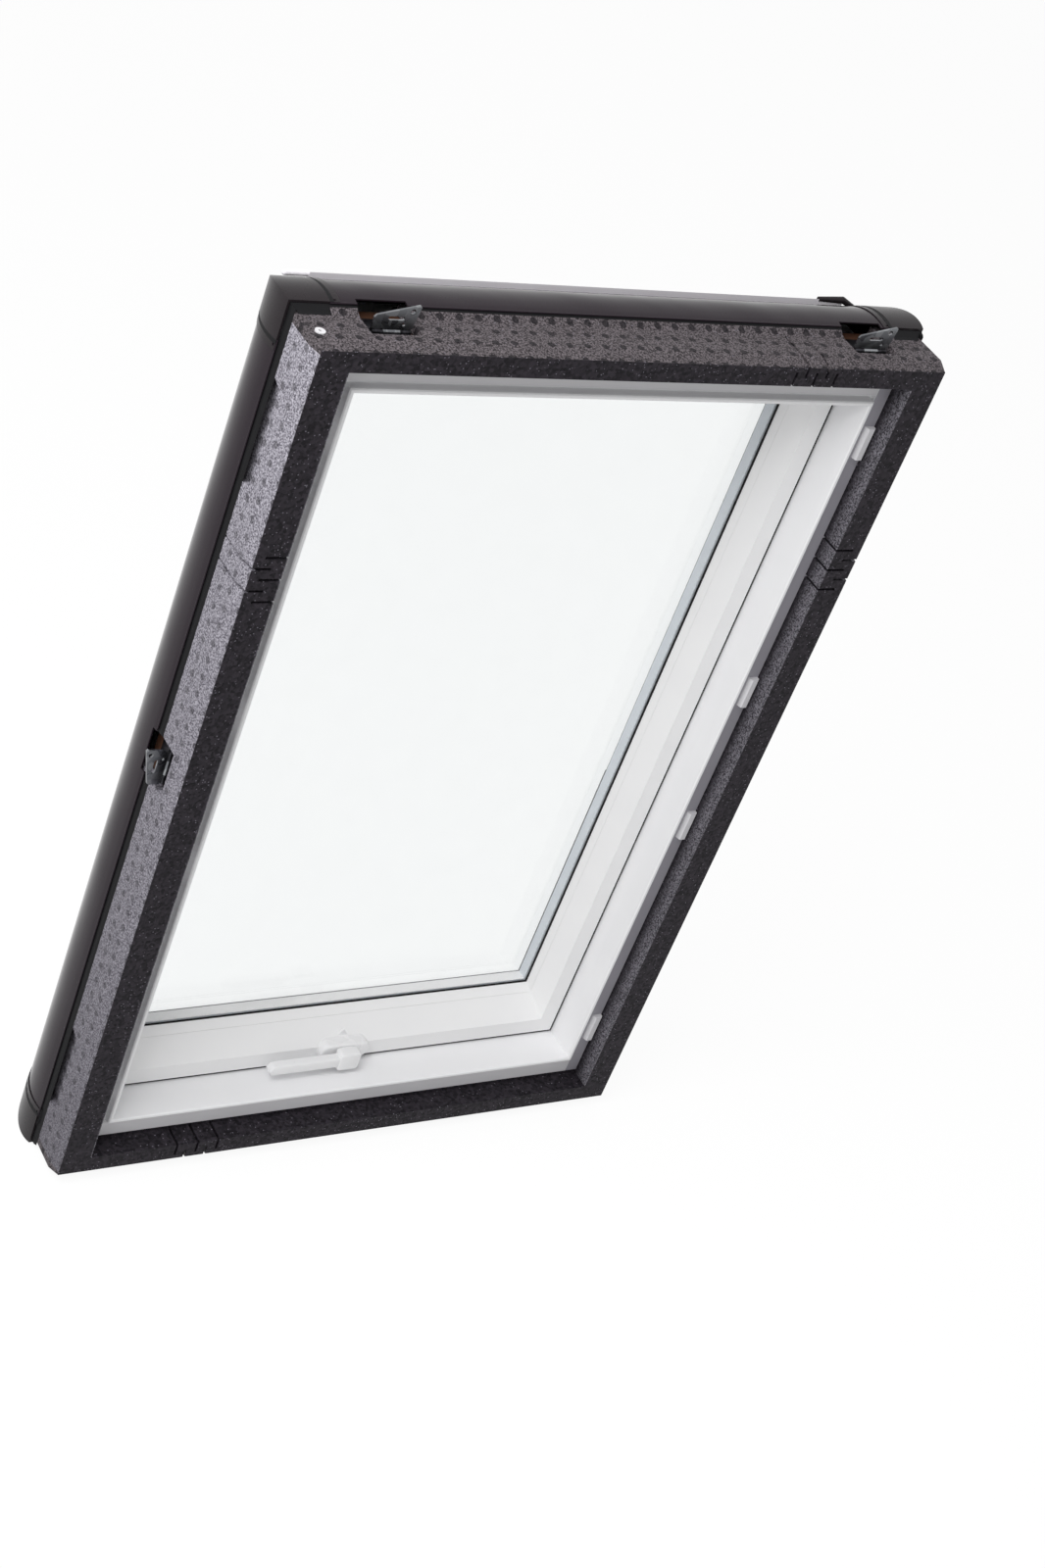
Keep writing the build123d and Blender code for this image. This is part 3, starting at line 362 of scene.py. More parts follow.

# %% [markdown]
# The hood's sheet is coated dark. Along its upper edge, on top and towards the room, a pale strip is painted
# on it as a painted reflection of the white room. The direction of each face, in the object's own axes, and
# its height tell that strip from the dark side. The strip is made rough, so it stays pale beside the dark
# collar.

# %% Hood finish
REFLECTION_BAND = 60 * MM
FACING = math.cos(math.radians(60))
hood_low, hood_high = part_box("hood")
hood_sheet, tree, shader, brown = clad_sheet("coil_coated_hood")
coords = add(tree, "TexCoord")
facing = add(tree, "SeparateXYZ", feed={"Vector": coords.outputs["Normal"]})
height = add(tree, "SeparateXYZ", feed={"Vector": coords.outputs["Object"]})
to_room = add(tree, "Math", feed={0: facing.outputs["Y"]}, sockets={1: FACING}, operation="LESS_THAN")
at_edge = add(tree, "Math", feed={0: height.outputs["Z"]}, sockets={1: hood_high[2] - REFLECTION_BAND},
              operation="GREATER_THAN")
# The pale strip is a painted reflection of the white room.
painted_reflection = add(tree, "Math", feed={0: to_room, 1: at_edge}, operation="MULTIPLY")
brown_with_reflection = add(tree, "Mix", feed={"Factor": painted_reflection, "A": brown}, sockets={"B": light("#F7F4F9")},
               data_type="RGBA")
matt = add(tree, "MapRange", feed={"Value": painted_reflection}, sockets={"To Min": 0.12, "To Max": 0.6})
link(tree, shader, {"Base Color": brown_with_reflection, "Roughness": matt})
print("hood", len(tree.nodes), "nodes")

# %% [markdown]
# ## Moulded caps, rubber and brown nylon
# The corner caps are moulded ASA with the fine grain that spark erosion leaves in the mould. Seals are EPDM
# rubber: nearly black, matt, with a faint bloom. The small brown pieces at the brackets are glass-filled
# nylon, slightly mottled. All three are one recipe: a mottled colour and a grain in the bump, each with its
# size in millimetres.

# %% Moulded finishes
ROUGH_SPREAD = 0.08


def moulded(name, low, high, sheen, rough, mottle, grain, depth):
    material, tree, shader, place = start_finish(name, IOR=1.5, Specular_IOR_Level=sheen)
    patch = add(tree, "TexNoise", feed={"Vector": place}, sockets={"Scale": 1 / mottle, "Detail": 4})
    tone = add(tree, "Mix", feed={"Factor": patch}, data_type="RGBA",
               sockets={"A": light(low), "B": light(high)})
    gloss = add(tree, "MapRange", feed={"Value": patch},
                sockets={"To Min": rough - ROUGH_SPREAD, "To Max": rough + ROUGH_SPREAD})
    pits = add(tree, "TexNoise", feed={"Vector": place}, sockets={"Scale": 1 / grain, "Detail": 3})
    skin = add(tree, "Bump", feed={"Height": pits}, sockets={"Strength": 0.2, "Distance": depth})
    link(tree, shader, {"Base Color": tone, "Roughness": gloss, "Normal": skin})
    return material


finishes["cap_plastic"] = moulded("moulded_asa_cap", "#1E1A1D", "#2B2629", sheen=0.14, rough=0.26,
                                  mottle=30 * MM, grain=1.0 * MM, depth=0.15 * MM)
finishes["black_rubber"] = moulded("epdm_rubber", "#0D0D0F", "#19191B", sheen=0.15, rough=0.6,
                                   mottle=18 * MM, grain=0.8 * MM, depth=0.1 * MM)
finishes["brown_plastic"] = moulded("glass_filled_nylon", "#3A2418", "#54382A", sheen=0.5, rough=0.5,
                                    mottle=6 * MM, grain=0.7 * MM, depth=0.1 * MM)
print("moulded", [finishes[k].name for k in ("cap_plastic", "black_rubber", "brown_plastic")])

# %% [markdown]
# ## Zinc-plated and dark steel
# The bracket plates are hot-dip galvanised sheet. Zinc freezes into spangles about 9 mm wide, and each
# crystal reflects a little differently, so a Voronoi cell sets both tone and roughness. The hinge bodies and
# the lock are phosphated steel: darker, with a cloudy patchiness of about 5 mm. Handling scratches are finer
# than a pixel, so they are drawn just under a millimetre wide.

# %% Metal finishes
SPANGLE = 9 * MM
CLOUD = 5 * MM
SCRATCH = 0.8 * MM


def steel(name, low, high, rough_low, rough_high, size):
    material, tree, shader, place = start_finish(name, Metallic=1.0)
    crystal = add(tree, "TexVoronoi", feed={"Vector": place}, sockets={"Scale": 1 / size})
    pick = add(tree, "SeparateColor", feed={"Color": crystal.outputs["Color"]})
    tone = add(tree, "Mix", feed={"Factor": pick.outputs["Red"]}, data_type="RGBA",
               sockets={"A": light(low), "B": light(high)})
    gloss = add(tree, "MapRange", feed={"Value": pick.outputs["Green"]},
                sockets={"To Min": rough_low, "To Max": rough_high})
    scratch = add(tree, "TexNoise", feed={"Vector": place}, sockets={"Scale": 1 / SCRATCH, "Detail": 3})
    skin = add(tree, "Bump", feed={"Height": scratch}, sockets={"Strength": 0.1, "Distance": 0.1 * MM})
    link(tree, shader, {"Base Color": tone, "Roughness": gloss, "Normal": skin})
    return material


finishes["zinc_steel"] = steel("galvanised_sheet", "#6A6C70", "#97999C", 0.24, 0.4, SPANGLE)
finishes["dark_steel"] = steel("phosphated_steel", "#2B2B2E", "#46454A", 0.38, 0.55, CLOUD)
print("metals", finishes["zinc_steel"].name, finishes["dark_steel"].name)

# %% [markdown]
# ## Glass and spacer
# The panes are clear float glass: no colour face-on, a soft green only through a long path. A trace of dust
# moves the roughness between nothing and very little. A path tracer doesn't look for lamps through a
# refracting sheet and would leave what is behind it dark, so shadow rays and soft bounced light pass the
# glass straight.

# %% Glass finish
DUST = 40 * MM
glass, tree, shader, place = start_finish("clear_float_glass", IOR=1.52, Transmission_Weight=1.0)
dust = add(tree, "TexNoise", feed={"Vector": place}, sockets={"Scale": 1 / DUST, "Detail": 6})
haze = add(tree, "MapRange", feed={"Value": dust},
           sockets={"From Min": 0.55, "From Max": 0.8, "To Min": 0.0, "To Max": 0.04})
clear = add(tree, "Mix", feed={"Factor": dust}, data_type="RGBA",
            sockets={"A": light("#F9FAFA"), "B": light("#FBFCFC")})
link(tree, shader, {"Base Color": clear, "Roughness": haze})
ray = add(tree, "LightPath")
soft_light = add(tree, "Math", feed={0: ray.outputs["Is Shadow Ray"], 1: ray.outputs["Is Diffuse Ray"]},
                 operation="MAXIMUM")
sheet = add(tree, "MixShader", feed={0: soft_light, 1: shader, 2: add(tree, "BsdfTransparent")})
link(tree, tree.nodes["Material Output"], {"Surface": sheet})
finishes["glass"] = glass
print("glass", len(tree.nodes), "nodes")

# %% [markdown]
# Between the panes runs a warm-edge spacer of pale grey plastic, because plastic carries less heat round the
# edge of the glass than aluminium does. It is the recipe of the white profiles once more. Its upper faces are
# painted nearly white, as painted light from the sky, and the direction of each face tells which ones those
# are.

# %% Spacer finish
finishes["spacer"], tree, shader, plain = white_profile("warm_edge_spacer", "#D3DAE1", "#DEE4EA", 0.38, 0.5)
facing = add(tree, "SeparateXYZ", feed={"Vector": add(tree, "TexCoord").outputs["Normal"]})
skyward = add(tree, "Math", feed={0: facing.outputs["Z"]}, sockets={1: FACING}, operation="GREATER_THAN")
# Painted sky light on the faces that look up.
painted_sky_light = add(tree, "Mix", feed={"Factor": skyward, "A": plain}, sockets={"B": light("#FCFCFC")},
               data_type="RGBA")
link(tree, shader, {"Base Color": painted_sky_light})
print("spacer", finishes["spacer"].name)

# %% [markdown]
# ## Dressing the solids
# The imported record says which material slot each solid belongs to. Reading that list keeps the finishes and
# the record in step: no name is typed twice, and a solid that had no finish would stop the script here. Only
# the hood then takes the form of the sheet with the primed edge.

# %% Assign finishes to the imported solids
slot_of = {row["node"]: row["material_slot"] for row in frame["record"]["subparts"]}
for name, solid in nodes.items():
    wanted = finishes[slot_of[name]]
    if not solid.material_slots:
        solid.data.materials.append(wanted)
    for place_for in solid.material_slots:
        place_for.material = wanted
nodes["hood"].material_slots[0].material = hood_sheet
print("dressed", len(slot_of), "solids")

# %% [markdown]
# ## Where things are
# The new pieces below sit on the solids, so their places are read from the frame: the outside of the white
# frame on all four sides and the room face of the foam. A place on a bar is then given as a fitter would
# measure it, by how far in from the frame's edge it lies, how deep from the room face, and how far along.

# %% Places on the window
room_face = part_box("foam_left")[0][1]
edge_left, edge_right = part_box("frame_left")[0][0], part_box("frame_right")[1][0]
edge_low, edge_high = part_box("frame_bottom")[0][2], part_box("frame_top")[1][2]
SIDES = ("left", "right", "top", "bottom")
ENDS = {"left": (edge_low, edge_high), "right": (edge_low, edge_high),
        "top": (edge_left, edge_right), "bottom": (edge_left, edge_right)}


def on_side(side, inset, depth, along):
    y = room_face + depth
    return Vector({"left": (edge_left + inset, y, along), "right": (edge_right - inset, y, along),
                   "top": (along, y, edge_high - inset), "bottom": (along, y, edge_low + inset)}[side])


print("frame", round(edge_right - edge_left, 3), "by", round(edge_high - edge_low, 3))

# %% [markdown]
# Every new piece ends the same way: its faces are turned outwards, flat faces stay crisp while rounded ones
# shade smoothly, it gets a finish, and it is told which body carries it. One function does all of that, so
# no piece can miss a step.

# %% Make a piece of a shape
CRISP_ANGLE = math.radians(35)


def add_piece(name, shape, body, slot, replaced=(), finish=None):
    bmesh.ops.recalc_face_normals(shape, faces=shape.faces)
    made = bpy.data.objects.new(name, bpy.data.meshes.new(name))
    shape.to_mesh(made.data)
    shape.free()
    made.data.shade_smooth()
    made.data.set_sharp_from_angle(angle=CRISP_ANGLE)
    made.data.materials.append(finish or finishes[slot])
    bpy.context.scene.collection.objects.link(made)
    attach(made, body)
    for node in replaced:
        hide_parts(node)
    print(name, len(made.data.polygons), "faces on", body)


print("crisp above", round(math.degrees(CRISP_ANGLE)), "degrees")

# %% [markdown]
# ## Handle
# Rosette and lever are die castings with generous radii, because sharp edges would not fill and would cut
# through the powder coat. The rosette is a stadium: a circle whose halves are pulled apart, drawn out of the
# rail and rounded at its rim. Starting from a circle gives round ends without any sums.

# %% Rosette
plate_low, plate_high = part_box("handle_rosette")
handle_z = (plate_low[2] + plate_high[2]) / 2
plate_radius = (plate_high[2] - plate_low[2]) / 2
pull_apart = (plate_high[0] - plate_low[0]) / 2 - plate_radius
RIM_RADIUS = 4 * MM
UPRIGHT = Matrix.Rotation(math.pi / 2, 4, "X")


def moved_verts(grown):
    return [part for part in grown["geom"] if isinstance(part, bmesh.types.BMVert)]


shape = bmesh.new()
bmesh.ops.create_circle(shape, cap_ends=True, segments=48, radius=plate_radius, matrix=UPRIGHT)
for corner in shape.verts:
    corner.co += Vector((math.copysign(pull_apart, corner.co.x), plate_high[1], handle_z))
front = moved_verts(bmesh.ops.extrude_face_region(shape, geom=shape.faces[:]))
bmesh.ops.translate(shape, verts=front, vec=(0, plate_low[1] - plate_high[1], 0))
rim = [edge for edge in shape.edges if all(corner in front for corner in edge.verts)]
bmesh.ops.bevel(shape, geom=rim, offset=RIM_RADIUS, affect="EDGES", segments=5, profile=0.5, material=-1)
add_piece("rosette_casting", shape, "sash", "handle_white", replaced=["handle_rosette"])

# %% [markdown]
# The lever has a squared hub, wider than the grip, and a straight grip whose end is rounded. Each is a block
# with its edges rounded: first the corners that show from the front, with a large radius, then all the rest
# with a small one. Rounding in that order is what a pattern maker does, and it leaves no pinched corner.

# %% A block with rounded edges
SOFT_RADIUS = 2.2 * MM
SHARP_EDGE = math.radians(50)


def add_block(shape, low, high, far_edges, far_radius):
    size = Vector(high) - Vector(low)
    block = bmesh.ops.create_cube(shape, size=1.0, matrix=Matrix.Translation((Vector(high) + Vector(low)) / 2)
                                  @ Matrix.Diagonal((*size, 1.0)))
    edges = {edge for corner in block["verts"] for edge in corner.link_edges}
    upright = [edge for edge in edges if far_edges(edge) and edge.verts[0].co.x == edge.verts[1].co.x
               and edge.verts[0].co.z == edge.verts[1].co.z]
    rounded = bmesh.ops.bevel(shape, geom=upright, offset=far_radius, affect="EDGES", segments=5,
                              profile=0.5, material=-1)
    corners = {corner for corner in block["verts"] if corner.is_valid} | set(rounded["verts"])
    rims = {edge for corner in corners for edge in corner.link_edges if edge.calc_face_angle(0) > SHARP_EDGE}
    bmesh.ops.bevel(shape, geom=list(rims), offset=SOFT_RADIUS, affect="EDGES", segments=3, profile=0.5,
                    material=-1)


print("soft radius", SOFT_RADIUS)

# %% [markdown]
# The grip lies just behind the hub's face, so that the two never share a plane. A short round neck joins the
# hub to the rosette.

# %% Lever
lever_low, lever_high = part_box("handle_lever")
HUB_TAIL, HUB_SIDE = 14 * MM, 18.2 * MM
HUB_GAUGE, HUB_RADIUS = 17 * MM, 5 * MM
HUB_STEP = 0.8 * MM
GRIP_HEIGHT, GRIP_GAUGE, GRIP_END = 16 * MM, 14 * MM, 8 * MM
NECK_RADIUS = 11 * MM
shape = bmesh.new()
add_block(shape, (-HUB_SIDE, lever_low[1], lever_low[2]), (HUB_TAIL, lever_low[1] + HUB_GAUGE, lever_high[2]),
          lambda edge: True, HUB_RADIUS)
add_block(shape, (lever_low[0], lever_low[1] + HUB_STEP, handle_z - GRIP_HEIGHT / 2),
          (0, lever_low[1] + GRIP_GAUGE, handle_z + GRIP_HEIGHT / 2),
          lambda edge: edge.verts[0].co.x < -HUB_TAIL, GRIP_END)
neck_length = lever_high[1] - lever_low[1] - GRIP_GAUGE
neck_place = Matrix.Translation((0, lever_high[1] - neck_length / 2, handle_z))
bmesh.ops.create_cone(shape, cap_ends=True, segments=32, radius1=NECK_RADIUS, radius2=NECK_RADIUS,
                      depth=neck_length, matrix=neck_place @ UPRIGHT)
add_piece("lever_casting", shape, "handle", "handle_white", replaced=["handle_lever"])

# %% [markdown]
# ## Rubber and trim that the solids leave out
# A soft black lip seals the joint between sash and frame, just behind the sash's face, and reads as a thin
# dark line all round; its black is partly the rubber's own and partly painted shade of the gap. Four bars
# would leave joints at the corners, so it is one ring: two rectangles, bridged and thickened.

# %% Lip seal
SASH_EDGE = 39 * MM
LIP_PROUD = 1.8 * MM
LIP_DEPTH, LIP_GAUGE = 78.2 * MM, 2.6 * MM
SQUARE = Matrix.Rotation(math.pi / 4, 4, "Y") @ UPRIGHT


def add_ring(shape, inner, outer, depth, thickness):
    loops = []
    for inset in (inner, outer):
        low = on_side("left", inset, depth, edge_low + inset)
        high = on_side("right", inset, depth, edge_high - inset)
        size = high - low
        spread = Matrix.Translation((low + high) / 2) @ Matrix.Diagonal((size.x, 1, size.z, 1))
        made = bmesh.ops.create_circle(shape, segments=4, radius=math.sqrt(0.5), matrix=spread @ SQUARE)
        loops += list({edge for corner in made["verts"] for edge in corner.link_edges})
    band = bmesh.ops.bridge_loops(shape, edges=loops)["faces"]
    moved = moved_verts(bmesh.ops.extrude_face_region(shape, geom=band))
    bmesh.ops.translate(shape, verts=moved, vec=(0, thickness, 0))


# The seal's black is partly painted shade of the gap between sash and frame.
shape = bmesh.new()
add_ring(shape, SASH_EDGE, SASH_EDGE - LIP_PROUD, LIP_DEPTH, LIP_GAUGE)
add_piece("sash_lip_seal", shape, "sash", "black_rubber")

# %% [markdown]
# The floor of the lining rebate is lined too: with a grey foam tape on the long sides, where the lining is
# pressed in, and a pale plastic strip at the ends. The tape's grey is partly its own and partly painted shade
# of the rebate floor. The tape runs through, and the strips stop short of it.

# %% Lining of the rebate
STRIP_EDGE, STRIP_REACH = 0.5 * MM, 23.5 * MM
STRIP_FACE, STRIP_BACK = 30.6 * MM, 31.1 * MM


def add_strip(shape, side, end_gap):
    first, last = (end + toward * end_gap for end, toward in zip(ENDS[side], (1, -1)))
    low = on_side(side, STRIP_EDGE, STRIP_FACE, first)
    high = on_side(side, STRIP_REACH, STRIP_BACK, last)
    size = [abs(c) for c in high - low]
    bmesh.ops.create_cube(shape, size=1.0, matrix=Matrix.Translation((low + high) / 2)
                          @ Matrix.Diagonal((*size, 1)))


# The tape's grey is partly painted shade of the rebate floor.
shade_grey_tape = white_profile("rebate_tape_grey_shade", "#A09EA6", "#ABA9B1", 0.5, 0.6)[0]
shape = bmesh.new()
for side in ("left", "right"):
    add_strip(shape, side, STRIP_EDGE)
add_piece("rebate_tape", shape, "window_frame", "clip_plastic", finish=shade_grey_tape)
shape = bmesh.new()
for side in ("top", "bottom"):
    add_strip(shape, side, STRIP_REACH)
add_piece("rebate_strip", shape, "window_frame", "clip_plastic")

# %% [markdown]
# Where a corner cap meets the cladding band, a black rubber strip closes the joint over the whole rounded
# section. The section is the arc through the hem, the shoulder and the crown of the sheet, so the first step
# is to find the middle of the circle through those three points.

# %% Arc of the collar
HEM, SHOULDER, CROWN = Vector((-44, 74)) * MM, Vector((-40.5, 126)) * MM, Vector((-23, 154)) * MM


def arc_middle(a, b, c):
    turn = 2 * (a.x * (b.y - c.y) + b.x * (c.y - a.y) + c.x * (a.y - b.y))
    squares = [p.length_squared for p in (a, b, c)]
    return Vector((squares[0] * (b.y - c.y) + squares[1] * (c.y - a.y) + squares[2] * (a.y - b.y),
                   squares[0] * (c.x - b.x) + squares[1] * (a.x - c.x) + squares[2] * (b.x - a.x))) / turn


middle = arc_middle(HEM, SHOULDER, CROWN)
arc_radius = (HEM - middle).length
hem_angle, crown_angle = (math.atan2(p.y - middle.y, p.x - middle.x) % math.tau for p in (HEM, CROWN))
print("collar radius", round(arc_radius, 4), "from", round(math.degrees(crown_angle)), "to",
      round(math.degrees(hem_angle)), "degrees")

# %% [markdown]
# The strip itself is one point, lifted a little off the hem and spun round that middle up to the crown. The
# spun line is drawn out along the band and thickened. Its axis runs along the bar, turned so that the spin
# goes from the frame's edge to the depth.

# %% Seam strips at the corner caps
CAP_REACH = 4 * MM
SEAM_WIDTH, SEAM_LIFT, SEAM_GAUGE = 5 * MM, 1.3 * MM, 0.5 * MM
SEAM_STEPS = 16
lifted = middle + (arc_radius + SEAM_LIFT) * Vector((math.cos(hem_angle), math.sin(hem_angle)))
shape = bmesh.new()
for side in SIDES:
    inward = on_side(side, 1, 0, 0) - on_side(side, 0, 0, 0)
    for end, toward in zip(ENDS[side], (1, -1)):
        start = end + toward * CAP_REACH
        older = set(shape.edges)
        hem_point = shape.verts.new(on_side(side, lifted.x, lifted.y, start))
        bmesh.ops.spin(shape, geom=[hem_point], cent=on_side(side, middle.x, middle.y, start),
                       axis=inward.cross(Vector((0, 1, 0))), angle=crown_angle - hem_angle, steps=SEAM_STEPS)
        arc = [edge for edge in shape.edges if edge not in older]
        moved = moved_verts(bmesh.ops.extrude_edge_only(shape, edges=arc))
        shift = on_side(side, 0, 0, start + toward * SEAM_WIDTH) - on_side(side, 0, 0, start)
        bmesh.ops.translate(shape, verts=moved, vec=shift)
bmesh.ops.recalc_face_normals(shape, faces=shape.faces)
bmesh.ops.solidify(shape, geom=shape.faces[:], thickness=SEAM_GAUGE)
add_piece("cap_seams", shape, "window_frame", "black_rubber")

# %% [markdown]
# The sheet's room edge is rolled into a hem, so it shows as a fine bright line. It is a thin round bar along
# each side, and it stops short of the fold-out plates, whose places come from the frame.

# %% Rolled hem
HEM_RADIUS = 1.2 * MM
PLATE_CLEAR = 6 * MM
PLATES = {"left": ["left"], "right": ["right"], "top": ["top_left", "top_right"], "bottom": []}


def add_rod(shape, start, stop, radius, tip_radius, segments=12):
    way = stop - start
    turned = way.to_track_quat("Z", "Y").to_matrix().to_4x4()
    bmesh.ops.create_cone(shape, cap_ends=True, segments=segments, radius1=radius, radius2=tip_radius,
                          depth=way.length, matrix=Matrix.Translation((start + stop) / 2) @ turned)


def free_runs(side):
    axis = 2 if side in ("left", "right") else 0
    stops = [ENDS[side][0] + CAP_REACH]
    for plate in PLATES[side]:
        low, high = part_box(f"bracket_plate_{plate}")
        stops += [low[axis] - PLATE_CLEAR, high[axis] + PLATE_CLEAR]
    stops += [ENDS[side][1] - CAP_REACH]
    return list(zip(stops[::2], stops[1::2]))


shape = bmesh.new()
for side in SIDES:
    for run in free_runs(side):
        first, last = (on_side(side, HEM.x + HEM_RADIUS / 2, HEM.y, along) for along in run)
        add_rod(shape, first, last, HEM_RADIUS, HEM_RADIUS)
add_piece("rolled_hem", shape, "window_frame", "cladding")

# %% [markdown]
# The same round bar, cut short, makes the rubber ends that close the black skirt at two of the corners: a
# bulb on a tapered tail at the upper right, and a pointed tip at the lower left.

# %% Rubber ends of the skirt
BULB_INSET, BULB_DEPTH, BULB_PAST = -42 * MM, 76 * MM, 36 * MM
BULB_RADIUS, BULB_TAIL = 6 * MM, Vector((12 * MM, 0, 0))
TAIL_ROOT, TAIL_RADIUS = 4 * MM, 5 * MM
TIP_INSET, TIP_DEPTH, TIP_ALONG = -43 * MM, 70 * MM, 2 * MM
TIP_RADIUS, TIP_POINT = 5 * MM, 0.5 * MM
TIP_ROOT, TIP_END = Vector((4, 2, 16)) * MM, Vector((-2, 0, -10)) * MM
shape = bmesh.new()
bulb = on_side("right", BULB_INSET, BULB_DEPTH, edge_high + BULB_PAST)
bmesh.ops.create_uvsphere(shape, u_segments=20, v_segments=12, radius=BULB_RADIUS,
                          matrix=Matrix.Translation(bulb))
add_rod(shape, bulb - BULB_TAIL, bulb, TAIL_ROOT, TAIL_RADIUS)
tip = on_side("left", TIP_INSET, TIP_DEPTH, edge_low + TIP_ALONG)
add_rod(shape, tip + TIP_ROOT, tip + TIP_END, TIP_RADIUS, TIP_POINT, 4)
add_piece("skirt_ends", shape, "window_frame", "black_rubber")

# %% [markdown]
# At the top the foam has a moulded lip that climbs under the hem, so only a thin black line of the skirt
# shows there. The lip's section is a short chain of points. Drawn out along the bar between the plates and
# thickened, it follows the bar exactly, which a bent block would not.

# %% Foam lip
LIP_SECTION = [Vector(p) * MM for p in ((-35, 60), (-37.5, 67), (-40.5, 70.8), (-38.5, 71.6))]
FOAM_LIP_GAUGE = 0.4 * MM
shape = bmesh.new()
for first, last in free_runs("top"):
    chain = [shape.verts.new(on_side("top", p.x, p.y, first)) for p in LIP_SECTION]
    edges = [shape.edges.new(pair) for pair in zip(chain, chain[1:])]
    moved = moved_verts(bmesh.ops.extrude_edge_only(shape, edges=edges))
    bmesh.ops.translate(shape, verts=moved, vec=(last - first, 0, 0))
bmesh.ops.recalc_face_normals(shape, faces=shape.faces)
bmesh.ops.solidify(shape, geom=shape.faces[:], thickness=FOAM_LIP_GAUGE)
add_piece("foam_lip", shape, "window_frame", "foam")

# %% [markdown]
# The hood's ends are closed. At the left its own sheet is rolled into a rounded end, so that piece takes the
# hood's finish. At the right a dark moulded strap lies over it and bends down to the cap, which is two
# tapered bars with a ball where they meet.

# %% Hood ends
END_RADIUS, END_REACH, END_LAP = 3.5 * MM, Vector((30 * MM, 0, 0)), 2 * MM
shape = bmesh.new()
inner_end = Vector((hood_low[0] + END_LAP, hood_low[1] + END_RADIUS, hood_high[2] - END_RADIUS))
outer_end = inner_end - END_REACH
add_rod(shape, inner_end, outer_end, END_RADIUS, END_RADIUS, 20)
bmesh.ops.create_uvsphere(shape, u_segments=20, v_segments=12, radius=END_RADIUS,
                          matrix=Matrix.Translation(outer_end))
add_piece("hood_end", shape, "window_frame", "cladding", finish=hood_sheet)

STRAP_RADIUS, STRAP_TAPER = 4.5 * MM, 3 * MM
STRAP_BACK, STRAP_SINK = 2 * MM, 1 * MM
STRAP_RUN, STRAP_BEND = Vector((38, 0, 0)) * MM, Vector((22, -4, -9)) * MM
shape = bmesh.new()
strap_top = Vector((hood_high[0], hood_low[1] + STRAP_BACK, hood_high[2] - STRAP_SINK))
add_rod(shape, strap_top - STRAP_RUN, strap_top, STRAP_TAPER, STRAP_RADIUS)
add_rod(shape, strap_top, strap_top + STRAP_BEND, STRAP_RADIUS, STRAP_TAPER)
bmesh.ops.create_uvsphere(shape, u_segments=16, v_segments=10, radius=STRAP_RADIUS,
                          matrix=Matrix.Translation(strap_top))
add_piece("hood_strap", shape, "window_frame", "cap_plastic")

# %% [markdown]
# ## Floor, light and camera
# The window stands on a plain pale floor in a white room. Cameras, mirrors and glass see the room as plain
# white, while the light that falls on the window comes from a dim sky and a few large soft panels. A bright
# sky alone would do for the white, but it would wash out every white face of the frame.

# %% World
SKY_LEVEL = 0.43
sky = bpy.data.worlds.new("white_room")
bpy.context.scene.world = sky
sky.use_nodes = True


def seen_rays(tree):
    ray = add(tree, "LightPath")
    seen = add(tree, "Math", feed={0: ray.outputs["Is Camera Ray"], 1: ray.outputs["Is Glossy Ray"]},
               operation="MAXIMUM")
    return add(tree, "Math", feed={0: seen, 1: ray.outputs["Is Transmission Ray"]}, operation="MAXIMUM")


tree = sky.node_tree
room = tree.nodes["Background"]
room.inputs["Color"].default_value = (1.0, 1.0, 1.0, 1.0)
level = add(tree, "MapRange", feed={"Value": seen_rays(tree)}, sockets={"To Min": SKY_LEVEL, "To Max": 1.0})
link(tree, room, {"Strength": level})
print("sky level", SKY_LEVEL)

# %% [markdown]
# The floor mixes its own lit colour with a white glow for those same rays, so it reads as white but keeps a
# shadow. It lies a millimetre under the window, so that no face shares its plane.

# %% Floor
FLOOR_HALF = 12.0
FLOOR_GAP = 1 * MM
GLOW, GLOW_SHARE = 1.05, 0.88
floor_mesh = bmesh.new()
bmesh.ops.create_grid(floor_mesh, x_segments=1, y_segments=1, size=FLOOR_HALF)
bmesh.ops.translate(floor_mesh, verts=floor_mesh.verts, vec=(0, 0, solid_box[0][2] - FLOOR_GAP))
floor = bpy.data.objects.new("pale_floor", bpy.data.meshes.new("pale_floor"))
floor_mesh.to_mesh(floor.data)
floor_mesh.free()
bpy.context.scene.collection.objects.link(floor)
ground, tree, paint = start_finish("pale_floor_paint", Base_Color=light("#E4E4E4"), Roughness=0.9)[:3]
glow = add(tree, "Emission", sockets={"Strength": GLOW})
lit = add(tree, "MixShader", feed={1: paint, 2: glow}, sockets={0: GLOW_SHARE})
both = add(tree, "MixShader", feed={0: seen_rays(tree), 1: paint, 2: lit})
link(tree, tree.nodes["Material Output"], {"Surface": both})
floor.data.materials.append(ground)
print("floor at", round(floor.data.vertices[0].co.z, 4))

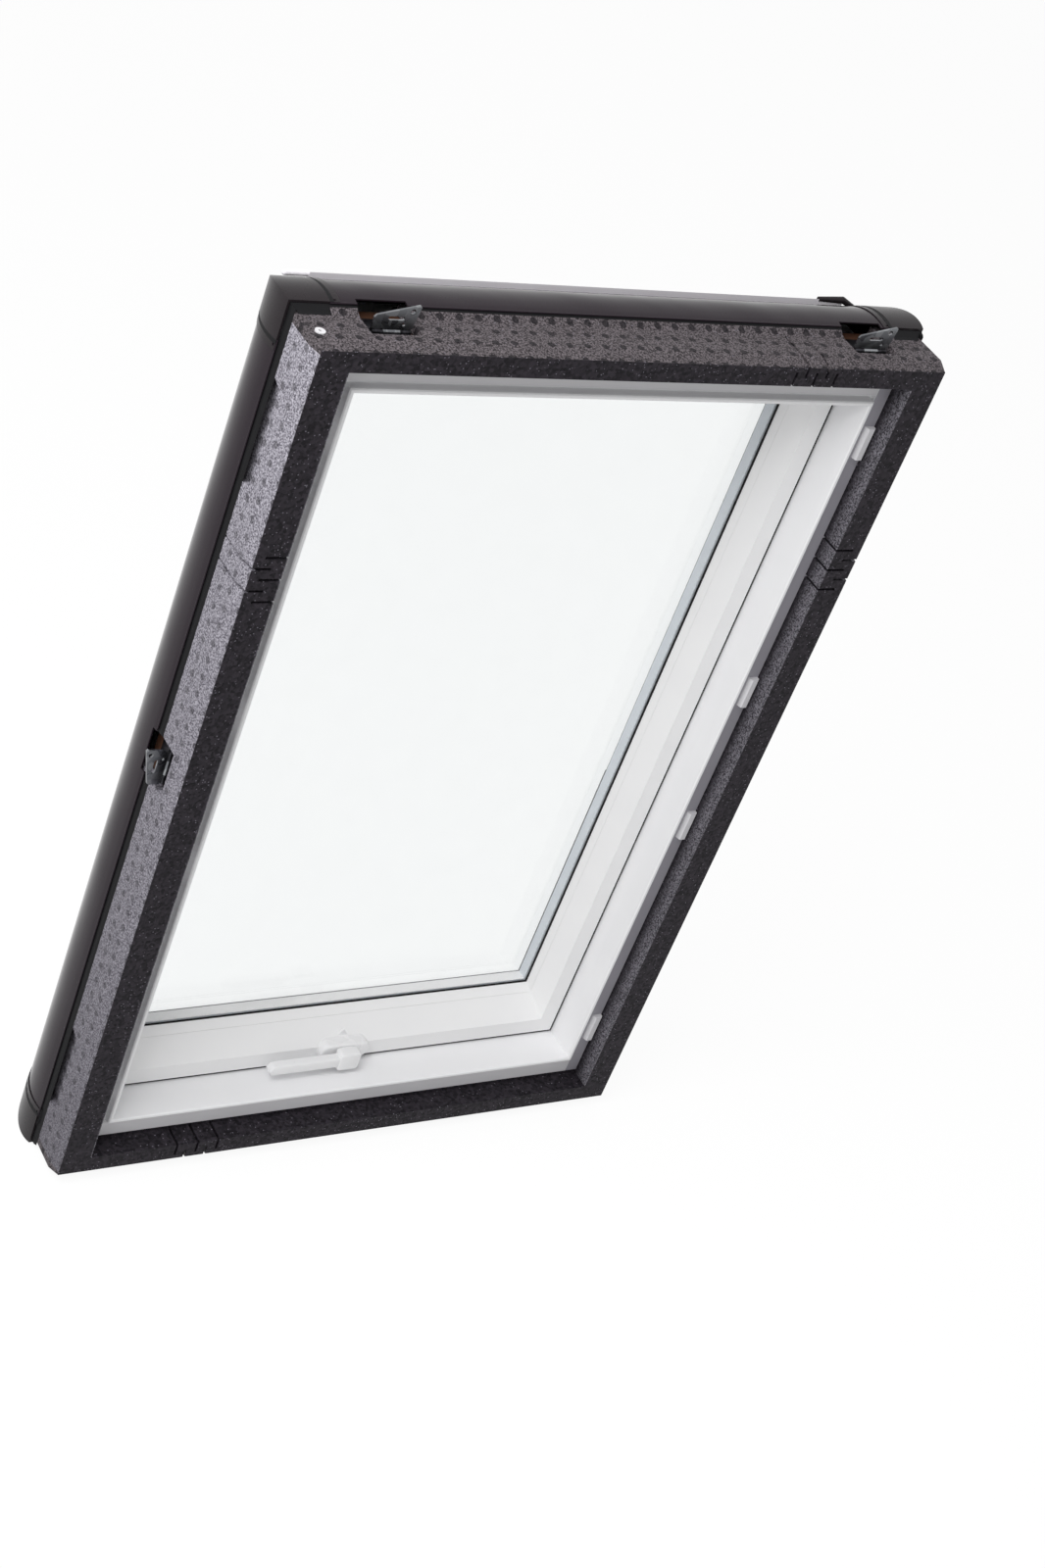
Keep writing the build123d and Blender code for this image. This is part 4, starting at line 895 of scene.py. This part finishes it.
# %% [markdown]
# The panels are area lights that the camera doesn't see, because small lamps would draw hard shadows that a
# studio avoids. The key stands at the camera's left, high up. The fill keeps the sash's lower rail from going
# grey.

# %% Soft panels


def panel(name, place, aim, size, watts):
    lamp = bpy.data.lights.new(name, "AREA")
    lamp.shape = "RECTANGLE"
    lamp.size, lamp.size_y = size
    lamp.energy = watts
    made = bpy.data.objects.new(name, lamp)
    made.location = place
    made.rotation_euler = (Vector(aim) - Vector(place)).to_track_quat("-Z", "Y").to_euler()
    made.visible_camera = False
    bpy.context.scene.collection.objects.link(made)


panel("key_panel", place=(-2.2, -0.7, 2.7), aim=(0, 0, 0), size=(2.4, 2.4), watts=112)
panel("fill_panel", place=(1.2, -3.6, 1.0), aim=(0, 0, -0.1), size=(2.0, 2.0), watts=4)

# %% [markdown]
# The camera's place, lens and axes were solved from the straight edges of the frame, which are parallel in
# threes. The photograph is 1066 by 1600, so the long side is the height, and the small shift is the distance
# of the lens axis from the middle of the picture, in pixels.

# %% Camera
PHOTO_HEIGHT = 1600
LENS_SHIFT = (-0.99, -0.69)
CAMERA_PLACE = Vector((-1.77571, -2.12541, 1.85253))
lens_right = Vector((0.83643, -0.44805, 0.31564))
lens_up = Vector((0.05716, 0.64409, 0.76282))
lens_ahead = Vector((0.54508, 0.62, -0.56434))
sight = bpy.data.cameras.new("photo_camera")
sight.sensor_fit = "AUTO"
sight.sensor_width = 36.0
sight.lens = 61.614
sight.shift_x, sight.shift_y = (pixels / PHOTO_HEIGHT for pixels in LENS_SHIFT)
sight.clip_end = 60.0
camera = bpy.data.objects.new("photo_camera", sight)
turn = Matrix((lens_right, lens_up, -lens_ahead)).transposed().to_4x4()
camera.matrix_world = Matrix.Translation(CAMERA_PLACE) @ turn
bpy.context.scene.collection.objects.link(camera)
bpy.context.scene.camera = camera
bpy.context.scene.view_settings.view_transform = "Standard"
print("lens", sight.lens, "distance", round(camera.location.length, 3))

# %% [markdown]
# ## Size
# The dressed window must keep the size of its solids.

# %% Update the scene
bpy.context.view_layer.update()
